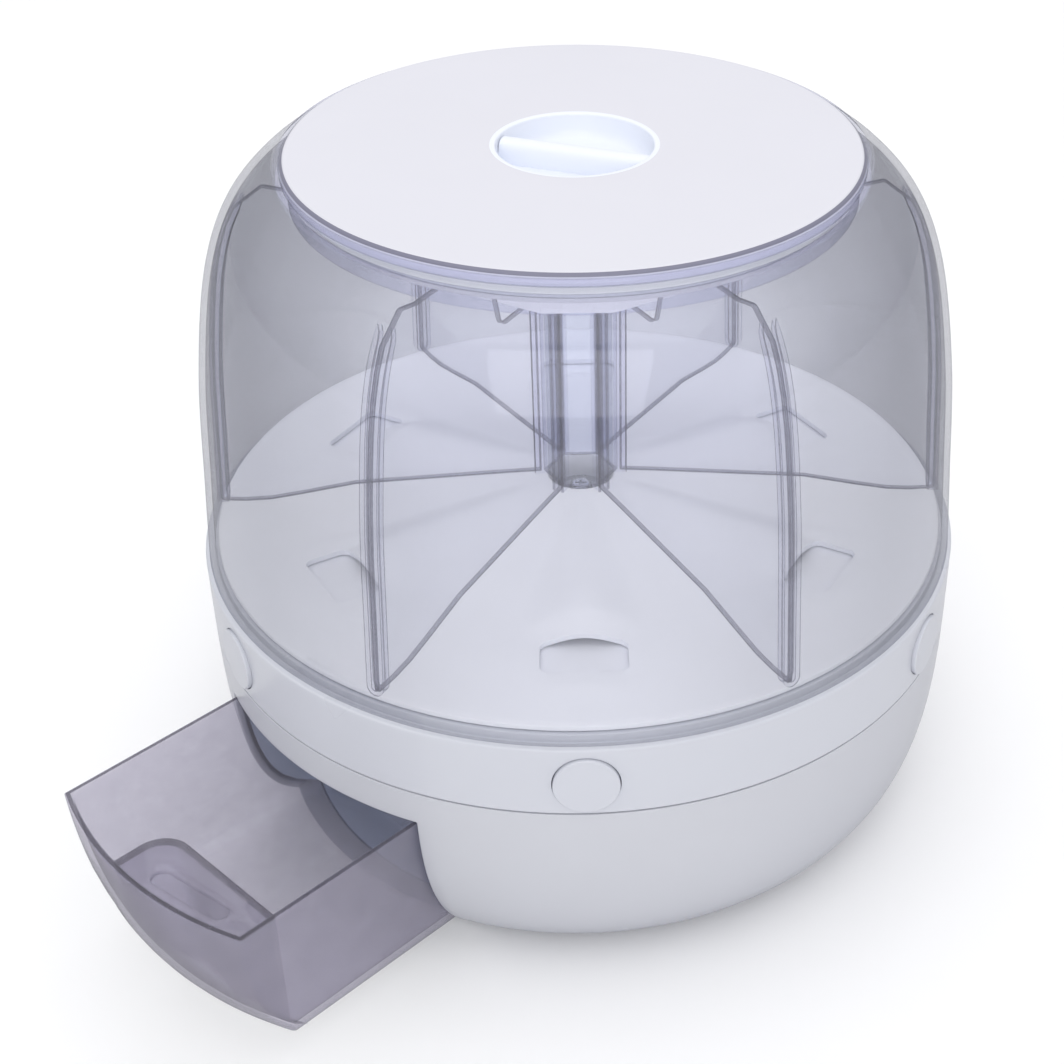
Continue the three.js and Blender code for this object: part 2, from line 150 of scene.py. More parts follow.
def clear(name, ramp, hue=(0.985, 0.985, 1.03), gloss_rough=0.05, gloss=0.9, haze=0.03, haze_col=(0.8, 0.8, 0.86), wave=0.05, through=0.98, skin=0.26):
    """Clear moulded plastic: tinted transmission that deepens where the wall is seen along its length, a glossy skin, a little haze.
    ramp is how much one surface lets through, from seen square on (0) to seen edge on (1). Light passes with little loss, so the inside stays bright."""
    m, nt, out = new_mat(name)
    co = nt.nodes.new("ShaderNodeTexCoord").outputs["Object"]
    f = facing(nt, 0.5)
    tr = nt.nodes.new("ShaderNodeBsdfTransparent")
    cloud = noise(nt, co, 9.0, 2.0, 0.5)
    wob = nt.nodes.new("ShaderNodeMath")
    wob.operation = "ADD"
    nt.links.new(f, wob.inputs[0])
    nt.links.new(map_range(nt, cloud.outputs["Fac"], 0.3, 0.7, -0.012, 0.012), wob.inputs[1])
    cr_ = nt.nodes.new("ShaderNodeValToRGB")
    el = cr_.color_ramp.elements
    while len(el) > 1:
        el.remove(el[-1])
    for k, (pos, t) in enumerate(ramp):
        e = el[0] if k == 0 else el.new(pos)
        e.position = pos
        e.color = (min(1.0, t * hue[0]), min(1.0, t * hue[1]), min(1.0, t * hue[2]), 1.0)
    nt.links.new(wob.outputs[0], cr_.inputs["Fac"])
    nt.links.new(cr_.outputs["Color"], tr.inputs["Color"])
    gl = nt.nodes.new("ShaderNodeBsdfGlossy")
    gl.inputs["Color"].default_value = (gloss, gloss, min(1.0, gloss * 1.03), 1.0)
    gl.inputs["Roughness"].default_value = gloss_rough
    wv = noise(nt, co, 26.0, 2.0, 0.5)
    nrm = bump(nt, wv.outputs["Fac"], wave, 0.0006)
    nt.links.new(nrm, gl.inputs["Normal"])
    fr = map_range(nt, power(nt, f, 5.0), 0.0, 1.0, 0.035, skin)
    df = nt.nodes.new("ShaderNodeBsdfDiffuse")
    df.inputs["Color"].default_value = (*haze_col, 1.0)
    hz = nt.nodes.new("ShaderNodeMixShader")
    hn = noise(nt, co, 120.0, 3.0, 0.6)
    nt.links.new(map_range(nt, hn.outputs["Fac"], 0.3, 0.7, haze * 0.8, haze * 1.2), hz.inputs["Fac"])
    nt.links.new(tr.outputs[0], hz.inputs[1])
    nt.links.new(df.outputs[0], hz.inputs[2])
    mx = nt.nodes.new("ShaderNodeMixShader")
    nt.links.new(fr, mx.inputs["Fac"])
    nt.links.new(hz.outputs[0], mx.inputs[1])
    nt.links.new(gl.outputs[0], mx.inputs[2])
    t2 = nt.nodes.new("ShaderNodeBsdfTransparent")
    t2.inputs["Color"].default_value = (through, through, through, 1.0)
    lp = nt.nodes.new("ShaderNodeLightPath")
    top = nt.nodes.new("ShaderNodeMixShader")
    # light bounced inside and the shadows pass nearly unweakened, so that the inside stays as bright as a clear shell leaves it
    dfr = nt.nodes.new("ShaderNodeMixShader")
    nt.links.new(lp.outputs["Is Diffuse Ray"], dfr.inputs["Fac"])
    nt.links.new(mx.outputs[0], dfr.inputs[1])
    nt.links.new(t2.outputs[0], dfr.inputs[2])
    nt.links.new(lp.outputs["Is Shadow Ray"], top.inputs["Fac"])
    nt.links.new(dfr.outputs[0], top.inputs[1])
    nt.links.new(t2.outputs[0], top.inputs[2])
    nt.links.new(top.outputs[0], out.inputs["Surface"])
    return m


def metal(name, base, rough=(0.18, 0.32)):
    m, nt, out = new_mat(name)
    co = nt.nodes.new("ShaderNodeTexCoord").outputs["Object"]
    b = nt.nodes.new("ShaderNodeBsdfPrincipled")
    b.inputs["Metallic"].default_value = 1.0
    n1 = noise(nt, co, 300.0, 4.0, 0.6)
    v = map_range(nt, n1.outputs["Fac"], 0.3, 0.7, 0.0, 1.0)
    nt.links.new(mix_rgb(nt, v, tuple(c * 0.9 for c in base), base), b.inputs["Base Color"])
    nt.links.new(map_range(nt, n1.outputs["Fac"], 0.3, 0.7, rough[0], rough[1]), b.inputs["Roughness"])
    nt.links.new(bump(nt, n1.outputs["Fac"], 0.05, 0.00005), b.inputs["Normal"])
    nt.links.new(b.outputs["BSDF"], out.inputs["Surface"])
    return m


# one white plastic in lit and shaded copies whose differences are painted light and shade: the lid is the lightest
# copy, the ring, buttons and bosses a darker one, and the bowl and bottom plate darker still as painted shade
M_WHITE = plastic("white_shell", (0.60, 0.615, 0.67), (0.33, 0.34, 0.39), rough=(0.27, 0.33), painted_grazing_pow=3.4, coat=0.1)
M_BOWL_PAINTED_SHADE = plastic("white_bowl_painted_shade", (0.575, 0.585, 0.63), (0.29, 0.30, 0.35), rough=(0.27, 0.33), painted_grazing_pow=3.0, coat=0.1)
M_LID = plastic("lid_white", (0.70, 0.70, 0.755), (0.55, 0.55, 0.63), rough=(0.30, 0.38), painted_grazing_pow=5.0, coat=0.1)
# painted light: the recessed dish and the grip bar get a brighter colour than the lid top, which lifts the shade of the
# recess
M_DISH_PAINTED_LIGHT = plastic("lid_dish_painted_light", (0.83, 0.86, 0.93), (0.70, 0.73, 0.81), rough=(0.28, 0.36), painted_grazing_pow=5.0, coat=0.1)
# painted shade: the lid's flange side and the outer strip of its top are painted darker than the lid
M_FLANGE_PAINTED_SHADE = plastic("lid_flange_painted_shade", (0.54, 0.55, 0.68), (0.40, 0.41, 0.54), rough=(0.28, 0.36), painted_grazing_pow=4.0, coat=0.1)
M_RIM_PAINTED_SHADE = plastic("lid_rim_painted_shade", (0.20, 0.20, 0.27), (0.12, 0.12, 0.17), rough=(0.28, 0.36), painted_grazing_pow=4.0, coat=0.1)
# painted light: the parts under the dome and lid get a brighter white than the outer shell, which lifts their shade
M_INNER_PAINTED_LIGHT = plastic("inner_white", (0.93, 0.94, 0.985), (0.84, 0.85, 0.91), rough=(0.38, 0.48), painted_grazing_pow=4.0)
# painted light: the well under the lid gets the brightest white, which lifts the shadow the lid casts on it
M_WELL_PAINTED_LIGHT = plastic("well_white_painted_light", (0.96, 0.955, 0.99), (0.90, 0.90, 0.97), rough=(0.38, 0.48), painted_grazing_pow=4.0)
# painted shade: the bay gets a darker bluish tone that stands in for the shade inside it
M_BAY_PAINTED_SHADE = plastic("bay_painted_shade", (0.60, 0.69, 0.82), (0.44, 0.52, 0.66), rough=(0.35, 0.45), painted_grazing_pow=3.5)
M_POM = plastic("pom_white", (0.82, 0.82, 0.80), (0.62, 0.62, 0.60), rough=(0.42, 0.52), grain=0.1)
M_RUBBER = plastic("rubber_grey", (0.17, 0.175, 0.19), (0.24, 0.245, 0.26), rough=(0.7, 0.85), grain=0.35, grain_scale=1400.0, spec=0.3)
M_SEAL = plastic("seal_silicone", (0.74, 0.76, 0.79), (0.6, 0.62, 0.66), rough=(0.5, 0.62), grain=0.12)
M_STEEL = metal("steel", (0.62, 0.63, 0.66))
M_DOME = clear("clear_dome", [(0.0, 0.955), (0.12, 0.93), (0.3, 0.825), (0.55, 0.76), (0.8, 0.755), (0.9, 0.735), (0.96, 0.64), (1.0, 0.28)], hue=(0.98, 0.985, 1.01), haze=0.012)
M_COLLAR = clear("clear_collar", [(0.0, 0.975), (0.3, 0.95), (0.6, 0.89), (0.85, 0.74), (1.0, 0.42)], hue=(0.965, 0.97, 1.035), haze=0.025)
M_RIB = clear("clear_rib", [(0.0, 0.99), (0.3, 0.975), (0.6, 0.94), (0.85, 0.86), (1.0, 0.70)], hue=(0.985, 0.985, 1.01), haze=0.02)
# painted shade: a darker, hazier clear material for the rims of the ribs and the hub, standing in for the dark lines
# that refraction draws along clear rims
M_LINE_PAINTED_SHADE = clear("clear_rib_painted_shade_line", [(0.0, 0.60), (0.5, 0.53), (1.0, 0.40)], hue=(0.98, 0.98, 1.05), haze=0.12, haze_col=(0.36, 0.36, 0.43))
M_DIV = clear("clear_divider", [(0.0, 0.996), (0.3, 0.985), (0.6, 0.965), (0.85, 0.90), (1.0, 0.72)], hue=(0.99, 0.992, 1.005), haze=0.004)
# painted shade: a darker, hazier clear material for the divider sheets' rims, standing in for the dark lines that
# refraction draws there
M_EDGE_PAINTED_SHADE = clear("clear_divider_painted_shade_edge", [(0.0, 0.55), (0.5, 0.48), (1.0, 0.36)], hue=(0.98, 0.98, 1.06), haze=0.14, haze_col=(0.42, 0.42, 0.50))
M_HUB = clear("clear_hub", [(0.0, 0.985), (0.3, 0.96), (0.6, 0.915), (0.85, 0.80), (1.0, 0.58)], hue=(0.975, 0.985, 1.02), haze=0.02)
M_SMOKE = clear("smoke_drawer", [(0.0, 0.83), (0.3, 0.795), (0.6, 0.725), (0.85, 0.58), (0.95, 0.40), (1.0, 0.18)], hue=(0.99, 0.975, 1.04), haze=0.16, haze_col=(0.54, 0.52, 0.60), gloss_rough=0.06, through=0.92)
# painted shade: a dark, hazy smoke material for the drawer's rims, standing in for the dark lines that refraction draws
# along them
M_SMOKE_EDGE_PAINTED_SHADE = clear("smoke_drawer_painted_shade_edge", [(0.0, 0.30), (0.5, 0.25), (1.0, 0.14)], hue=(0.99, 0.96, 1.08), haze=0.3, haze_col=(0.20, 0.19, 0.24), gloss_rough=0.08, through=0.85)


# =====================================================================================
# mesh helpers, all in millimetres until the mesh is made
# =====================================================================================
class MB:
    def __init__(self):
        self.v, self.f, self.m = [], [], []

    def add(self, pts):
        n = len(self.v)
        self.v.extend([tuple(map(float, p)) for p in pts])
        return n

    def grid(self, P, cu=False, cv=False, mat=0, flip=False):
        P = np.asarray(P, float)
        nu, nv = P.shape[:2]
        b = self.add(P.reshape(-1, 3))
        for i in range(nu if cu else nu - 1):
            for j in range(nv if cv else nv - 1):
                a0 = b + i * nv + j
                a1 = b + i * nv + (j + 1) % nv
                b0 = b + ((i + 1) % nu) * nv + j
                b1 = b + ((i + 1) % nu) * nv + (j + 1) % nv
                q = (a0, b0, b1, a1)
                self.f.append(q[::-1] if flip else q)
                self.m.append(mat)

    def ngon(self, pts, mat=0, flip=False):
        b = self.add(pts)
        q = tuple(range(b, b + len(pts)))
        self.f.append(q[::-1] if flip else q)
        self.m.append(mat)


def make(name, mb, mats, body, replaces=(), angle=32.0, weld=0.0008, fix_normals=True, bev=None):
    me = bpy.data.meshes.new(name)
    me.from_pydata([tuple(c * MM for c in p) for p in mb.v], [], mb.f)
    for i, p in enumerate(me.polygons):
        p.material_index = mb.m[i]
    bm = bmesh.new()
    bm.from_mesh(me)
    bmesh.ops.remove_doubles(bm, verts=bm.verts, dist=weld * MM)
    bmesh.ops.dissolve_degenerate(bm, edges=bm.edges, dist=1e-7)
    if fix_normals:
        bmesh.ops.recalc_face_normals(bm, faces=bm.faces)
    if bev:
        w, segs, lim, sel = bev
        es = [e for e in bm.edges if e.is_manifold and e.calc_face_angle(0.0) > lim * DEG and (sel is None or sel(e))]
        bmesh.ops.bevel(bm, geom=es, offset=w * MM, offset_type="OFFSET", segments=segs, profile=0.5, affect="EDGES", clamp_overlap=True)
    bm.to_mesh(me)
    bm.free()
    ob = bpy.data.objects.new(name, me)
    scene.collection.objects.link(ob)
    for m in mats:
        me.materials.append(m)
    shade(ob, angle)
    if body:
        done(ob, body, replaces)
    return ob


def shade(ob, angle=32.0):
    me = ob.data
    me.polygons.foreach_set("use_smooth", [True] * len(me.polygons))
    me.set_sharp_from_angle(angle=angle * DEG)
    me.update()


def done(ob, body, replaces=()):
    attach(ob, body)
    if replaces:
        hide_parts(*replaces)


def boolean(ob, cutters, op="DIFFERENCE"):
    for c in cutters:
        m = ob.modifiers.new("b", "BOOLEAN")
        m.operation = op
        m.solver = "EXACT"
        m.object = c
    bpy.context.view_layer.update()
    dg = bpy.context.evaluated_depsgraph_get()
    me = bpy.data.meshes.new_from_object(ob.evaluated_get(dg))
    ob.modifiers.clear()
    ob.data = me
    for c in cutters:
        bpy.data.objects.remove(c)


def bevel_mod(ob, width, segs=2, angle=35.0, shade_angle=32.0):
    m = ob.modifiers.new("v", "BEVEL")
    m.width = width * MM
    m.segments = segs
    m.limit_method = "ANGLE"
    m.angle_limit = angle * DEG
    m.use_clamp_overlap = True
    m.miter_outer = "MITER_ARC"
    bpy.context.view_layer.update()
    dg = bpy.context.evaluated_depsgraph_get()
    me = bpy.data.meshes.new_from_object(ob.evaluated_get(dg))
    ob.modifiers.clear()
    ob.data = me
    shade(ob, shade_angle)


def rot(P, az):
    P = np.asarray(P, float)
    c, s = math.cos(az * DEG), math.sin(az * DEG)
    Q = P.copy()
    Q[..., 0] = P[..., 0] * c - P[..., 1] * s
    Q[..., 1] = P[..., 0] * s + P[..., 1] * c
    return Q


def cr(points, per=8, closed=False):
    """Catmull-Rom curve through 2-D points, centripetal."""
    p = np.asarray(points, float)
    n = len(p)
    out = []
    for i in range(n - 1):
        p1, p2 = p[i], p[i + 1]
        p0 = p[i - 1] if i > 0 else 2 * p1 - p2
        p3 = p[i + 2] if i + 2 < n else 2 * p2 - p1
        t = [0.0]
        for a, b in ((p0, p1), (p1, p2), (p2, p3)):
            t.append(t[-1] + max(1e-6, np.linalg.norm(b - a)) ** 0.5)
        for k in range(per):
            u = t[1] + (t[2] - t[1]) * k / per
            A1 = (t[1] - u) / (t[1] - t[0]) * p0 + (u - t[0]) / (t[1] - t[0]) * p1
            A2 = (t[2] - u) / (t[2] - t[1]) * p1 + (u - t[1]) / (t[2] - t[1]) * p2
            A3 = (t[3] - u) / (t[3] - t[2]) * p2 + (u - t[2]) / (t[3] - t[2]) * p3
            B1 = (t[2] - u) / (t[2] - t[0]) * A1 + (u - t[0]) / (t[2] - t[0]) * A2
            B2 = (t[3] - u) / (t[3] - t[1]) * A2 + (u - t[1]) / (t[3] - t[1]) * A3
            out.append((t[2] - u) / (t[2] - t[1]) * B1 + (u - t[1]) / (t[2] - t[1]) * B2)
    out.append(p[-1])
    return [tuple(q) for q in out]


def fil(points, default=0.5, n=4, closed=True):
    """Rounds the corners of a polyline; a point is (x, y) or (x, y, radius), radius 0 keeps it sharp."""
    pts = [(p[0], p[1], p[2] if len(p) > 2 else default) for p in points]
    N = len(pts)
    out = []
    for i, (x, y, r) in enumerate(pts):
        if (not closed and i in (0, N - 1)) or r <= 0:
            out.append((x, y))
            continue
        a = np.array(pts[i - 1][:2]) - (x, y)
        b = np.array(pts[(i + 1) % N][:2]) - (x, y)
        la, lb = np.linalg.norm(a), np.linalg.norm(b)
        if la < 1e-9 or lb < 1e-9:
            continue
        a, b = a / la, b / lb
        cosang = float(np.clip(a @ b, -1, 1))
        th = math.acos(cosang)
        if math.pi - th < 0.05:
            out.append((x, y))
            continue
        d = r / math.tan(th / 2)
        d = min(d, la * 0.49, lb * 0.49)
        r2 = d * math.tan(th / 2)
        c = np.array((x, y)) + (a + b) / np.linalg.norm(a + b) * (r2 / math.sin(th / 2))
        p0, p1 = np.array((x, y)) + a * d, np.array((x, y)) + b * d
        v0, v1 = p0 - c, p1 - c
        for k in range(n + 1):
            t = k / n
            w = v0 * math.sin((1 - t) * (math.pi - th)) + v1 * math.sin(t * (math.pi - th))
            out.append(tuple(c + w / math.sin(math.pi - th)))
    return out


def revolve(mb, prof, seg=192, closed=True, mat=0, az0=0.0):
    prof = np.asarray(prof, float)
    a = (np.arange(seg) * 2 * math.pi / seg) + az0 * DEG
    P = np.zeros((seg, len(prof), 3))
    P[:, :, 0] = prof[None, :, 0] * np.sin(a)[:, None]
    P[:, :, 1] = -prof[None, :, 0] * np.cos(a)[:, None]
    P[:, :, 2] = prof[None, :, 1]
    mb.grid(P, cu=True, cv=closed, mat=mat)
    return P


def offset_loop(loop, d):
    """Moves a counter-clockwise loop inwards by d, with mitred vertices."""
    L = np.asarray(loop, float)
    prev, nxt = np.roll(L, 1, 0), np.roll(L, -1, 0)
    e0 = L - prev
    e1 = nxt - L
    e0 /= np.maximum(np.linalg.norm(e0, axis=1, keepdims=True), 1e-9)
    e1 /= np.maximum(np.linalg.norm(e1, axis=1, keepdims=True), 1e-9)
    n0 = np.stack([-e0[:, 1], e0[:, 0]], 1)
    n1 = np.stack([-e1[:, 1], e1[:, 0]], 1)
    m = n0 + n1
    m /= np.maximum((m * n0).sum(1, keepdims=True), 0.25)
    return L + m * d


def pillow(mb, loop, z0, z1, rt=0.6, rb=0.6, n=4, mat=0, T=None, cap=0.0):
    """Extruded outline with rounded top and bottom edges. T maps the points afterwards."""
    rows = []
    for k in range(n + 1):
        t = math.pi / 2 * k / n
        rows.append((offset_loop(loop, rb * (1 - math.sin(t))), z0 + rb * (1 - math.cos(t))))
    for k in range(n + 1):
        t = math.pi / 2 * k / n
        rows.append((offset_loop(loop, rt * (1 - math.cos(t))), z1 - rt * (1 - math.sin(t))))
    if cap > 0:
        rows = [(offset_loop(loop, rb + cap), z0)] + rows + [(offset_loop(loop, rt + cap), z1)]
    P = np.array([[(x, y, z) for x, y in lp] for lp, z in rows])
    if T is not None:
        P = T(P)
    mb.grid(P, cv=True, mat=mat)
    mb.ngon([tuple(p) for p in P[0]][::-1], mat=mat)
    mb.ngon([tuple(p) for p in P[-1]], mat=mat)


def circle(r, n=48, x=0.0, y=0.0, ph=0.0):
    a = np.arange(n) * 2 * math.pi / n + ph
    return [(x + r * math.cos(t), y + r * math.sin(t)) for t in a]


def rrect(x0, x1, y0, y1, r, n=6):
    return fil([(x0, y0), (x1, y0), (x1, y1), (x0, y1)], default=r, n=n)


def lerp_curve(table, per=10):
    c = np.array(cr(table, per))
    return c[:, 0], c[:, 1]


# ---------------------------------------------------------------- shared outlines
def bowl_r(z, off=0.0):
    s = np.clip((101.44 - np.asarray(z, float)) / 101.16, 0, 1) ** (3.29 / 2)
    return 92.66 + 56.83 * np.sqrt(np.maximum(0, 1 - s * s)) ** (2 / 3.29) - off


def bowl_in(z, d):
    e = 0.3
    dr = float(bowl_r(z + e) - bowl_r(z - e))
    L = math.hypot(dr, 2 * e)
    return (float(bowl_r(z)) - d * (2 * e) / L, z + d * dr / L)


DOME_OUT = [(148, 117.3), (145.7, 150), (142.1, 195), (134.8, 235), (127, 253), (116.5, 264.6), (107.6, 270.9)]
DOME_IN = [(145.6, 117.3), (143.3, 150), (139.7, 194.6), (132.7, 233.7), (125.3, 250.8), (115.1, 262), (106.6, 266.6)]
_di = np.array(cr(DOME_IN, 12))


def inner_r(z):
    return np.interp(z, _di[:, 1], _di[:, 0])


# =====================================================================================
# carousel: ring, dome, floor, hub, dividers
# =====================================================================================
def build_ring():
    R, RI = 149.5, 146.8
    ZL, ZH, ZLI, ZHI = 89.0, 116.2, 89.4, 114.6
    HW = 16.0                       # half width of a button-hole patch, along the arc
    n = 8                           # columns across half of a patch side
    ROWS = 18
    mb = MB()
    # columns of the whole ring: every patch has 2n columns, every arc between has 26
    cols = []
    for k in range(6):
        c = k * 60.0
        half = HW / R / DEG
        for i in range(2 * n + 1):
            cols.append(c - half + 2 * half * i / (2 * n))
        a0, a1 = c + half, c + 60 - half
        for i in range(1, 26):
            cols.append(a0 + (a1 - a0) * i / 26)
    cols = np.array(cols)

    def P(az, r, z):
        return (r * math.sin(az * DEG), -r * math.cos(az * DEG), z)

    # everything but the two walls, as strips turned over the same columns
    top = fil([(R, ZH - 1, 0), (R, 117.0, 0.8), (145.2, 117.0, 0.35), (145.2, 120.5, 0.5), (142.6, 120.5, 0.5), (142.6, 114.6, 0.4), (RI, 114.6, 0)], n=4, closed=False)
    top[0] = (R, ZH)
    bot = fil([(RI, ZLI, 0), (143.2, ZLI, 0.4), (143.2, 88.3, 0.4), (R, 88.3, 0.6), (R, ZL, 0)], n=4, closed=False)
    for prof in (top, bot):
        mb.grid(np.array([[P(a, r, z) for r, z in prof] for a in cols]), cu=True)
    # walls between the patches
    per = 2 * n + 26
    for (r, zl, zh) in ((R, ZL, ZH), (RI, ZLI, ZHI)):
        zs = np.linspace(zl, zh, ROWS + 1)
        for k in range(6):
            seg = [cols[(k * per + 2 * n + i) % len(cols)] for i in range(27)]
            mb.grid(np.array([[P(a, r, z) for z in zs] for a in seg]))

    # patches with a round hole
    def patch(k, r, zl, zh, hr):
        c = k * 60.0
        hw = HW / R * r
        zs = np.linspace(zl, zh, ROWS + 1)
        us = np.linspace(-hw, hw, 2 * n + 1)
        loop = [(u, zl) for u in us] + [(hw, z) for z in zs[1:]] + [(u, zh) for u in us[::-1][1:]] + [(-hw, z) for z in zs[::-1][1:-1]]
        loop = np.array(loop)
        zc = 101.5
        ang = np.arctan2(loop[:, 1] - zc, loop[:, 0])
        cir = np.stack([hr * np.cos(ang), zc + hr * np.sin(ang)], 1)
        rings = []
        for s in (0, 0.35, 0.7, 0.9, 1.0):
            q = loop * (1 - s) + cir * s
            rings.append([P(c + u / r / DEG, r, z) for u, z in q])
        mb.grid(np.array(rings), cv=True)
        return [(u, z) for u, z in cir]

    for k in range(6):
        c = k * 60.0
        a = patch(k, R, ZL, ZH, 12.15)
        b = patch(k, RI, ZLI, ZHI, 11.98)
        # the hole's wall, over matched points, in the direction of the button's travel
        A = [P(c + u / R / DEG, R, z) for u, z in a]
        angs = [math.atan2(z - 101.5, u) for u, z in a]
        bz = [(11.98 * math.cos(t), 101.5 + 11.98 * math.sin(t)) for t in angs]
        B = [P(c + u / RI / DEG, RI, z) for u, z in b]
        mb.grid(np.array([A, B]), cv=True)
    ob = make("carousel_ring_shell", mb, [M_WHITE], None, angle=30)
    # soften the rim of each hole
    me = ob.data
    bm = bmesh.new()
    bm.from_mesh(me)
    es = []
    for e in bm.edges:
        if not e.is_manifold or e.calc_face_angle(0.0) < 50 * DEG:
            continue
        m = (e.verts[0].co + e.verts[1].co) / 2 / MM
        rr = math.hypot(m.x, m.y)
        if abs(rr - 149.5) > 0.3 or not 89.2 < m.z < 113.8:
            continue
        es.append(e)
    bmesh.ops.bevel(bm, geom=es, offset=0.45 * MM, segments=3, profile=0.5, affect="EDGES", clamp_overlap=True)
    bm.to_mesh(me)
    bm.free()
    shade(ob, 30)
    done(ob, "carousel", ["carousel_ring"])


def build_dome():
    mb = MB()
    outer = cr(DOME_OUT, 10)
    lip = fil([outer[-1] + (0,), (106.6, 272.5, 0.6), (105.1, 272.5, 0.4), (105.1, 269, 0.5), (100.5, 269, 0.7), (100.5, 258, 0.9), (102.9, 258, 0.9),
               (102.9, 266.2, 1.2), (106.6, 266.6, 0)], n=5, closed=False)
    inner = cr(DOME_IN, 10)[::-1]
    foot = fil([(inner[-1][0], inner[-1][1] + 3, 0), (145.6, 117.3, 0.5), (148, 117.3, 0.5), (outer[0][0], outer[0][1] + 3, 0)], n=4, closed=False)[1:-1]
    # the shell, the neck with its collar, and the wall's foot, turned as three strips that share their end points
    shell_a = [foot[-1]] + outer[1:]
    shell_b = inner[:-1] + foot
    revolve(mb, shell_a, seg=216, closed=False)
    revolve(mb, [outer[-1]] + lip[1:-1] + [inner[0]], seg=216, closed=False, mat=2)
    revolve(mb, shell_b, seg=216, closed=False)
    # divider rails: one U-shaped rib per divider, open towards the middle, on the inside of the wall
    zs = np.linspace(256.5, 127.0, 46)
    for az in DIVIDER_AZ:
        path = [(-2.45, z) for z in zs]
        for k in range(1, 12):
            t = math.pi * k / 12
            path.append((-2.45 * math.cos(t), 127.0 - 2.45 * math.sin(t)))
        path += [(2.45, z) for z in zs[::-1]]
        path = np.array(path)
        tan = np.gradient(path, axis=0)
        tan /= np.linalg.norm(tan, axis=1, keepdims=True)
        nrm = np.stack([tan[:, 1], -tan[:, 0]], 1)
        sec = [(-0.95, 0.03), (-0.95, 0.5), (-0.95, 3.7), (-0.86, 4.14), (-0.6, 4.25), (0.6, 4.25), (0.86, 4.14), (0.95, 3.7), (0.95, 0.5), (0.95, 0.03)]
        P = np.zeros((len(path), len(sec), 3))
        for i, (p, nn) in enumerate(zip(path, nrm)):
            for j, (w, d) in enumerate(sec):
                x, z = p[0] + nn[0] * w, p[1] + nn[1] * w
                r = float(inner_r(z))
                # depth tapers off at the two top ends
                dd = d
                if p[1] > 250:
                    dd = 0.03 + (d - 0.03) * max(0.0, min(1.0, (256.5 - p[1]) / 6.5)) ** 0.5
                P[i, j] = (x, -(math.sqrt(r * r - x * x) - dd), z)
        R_ = rot(P, az)
        # the strip beside the wall and the two rounded edges carry the darker clear material, painted shade that reads
        # as fine lines
        for j0, j1, mt in ((0, 1, 3), (1, 2, 1), (2, 4, 3), (4, 5, 1), (5, 7, 3), (7, 8, 1), (8, 9, 3)):
            mb.grid(R_[:, j0:j1 + 1], mat=mt)
        for e in (0, -1):
            mb.ngon([tuple(q) for q in R_[e]], mat=1)
    make("dome_shell", mb, [M_DOME, M_RIB, M_COLLAR, M_LINE_PAINTED_SHADE], "carousel", ["dome"], angle=28, fix_normals=True)


def floor_top(r, th):
    """Top of the hopper floor at radius r and azimuth th, degrees."""
    rx, rz = RIDGE
    vx, vz = VALLEY
    t = np.abs(((th + 390.0) % 60.0) - 30.0)
    w = np.clip(t / 17.0, 0, 1)
    w = w * w * (3 - 2 * w)
    a, b = np.interp(r, rx, rz), np.interp(r, vx, vz)
    return a * (1 - w) + b * w


RIDGE = lerp_curve([(18, 135), (30, 134.2), (60, 132.2), (90, 130.2), (124, 123.6), (143.8, 123)], 10)
VALLEY = lerp_curve([(18, 135), (30, 132.6), (60, 127.6), (90, 123), (143.8, 123)], 10)


def dish_top(r, th):
    """top of the hopper floor with a shallow lead-in round each outlet"""
    z = float(floor_top(r, th))
    w = 0.0
    for a in SECTOR_AZ:
        d = ((th - a + 180) % 360 - 180) * DEG
        x, o = r * math.sin(d), r * math.cos(d)
        if o < 0:
            continue
        dx, do = max(0.0, abs(x) - 16.5), max(0.0, abs(o - 105) - 9.5)
        w = max(w, 1.0 - min(1.0, math.hypot(dx, do) / 11.0))
    w = w * w * (3 - 2 * w)
    return z - w * max(0.0, min(3.0, z - 122.9))


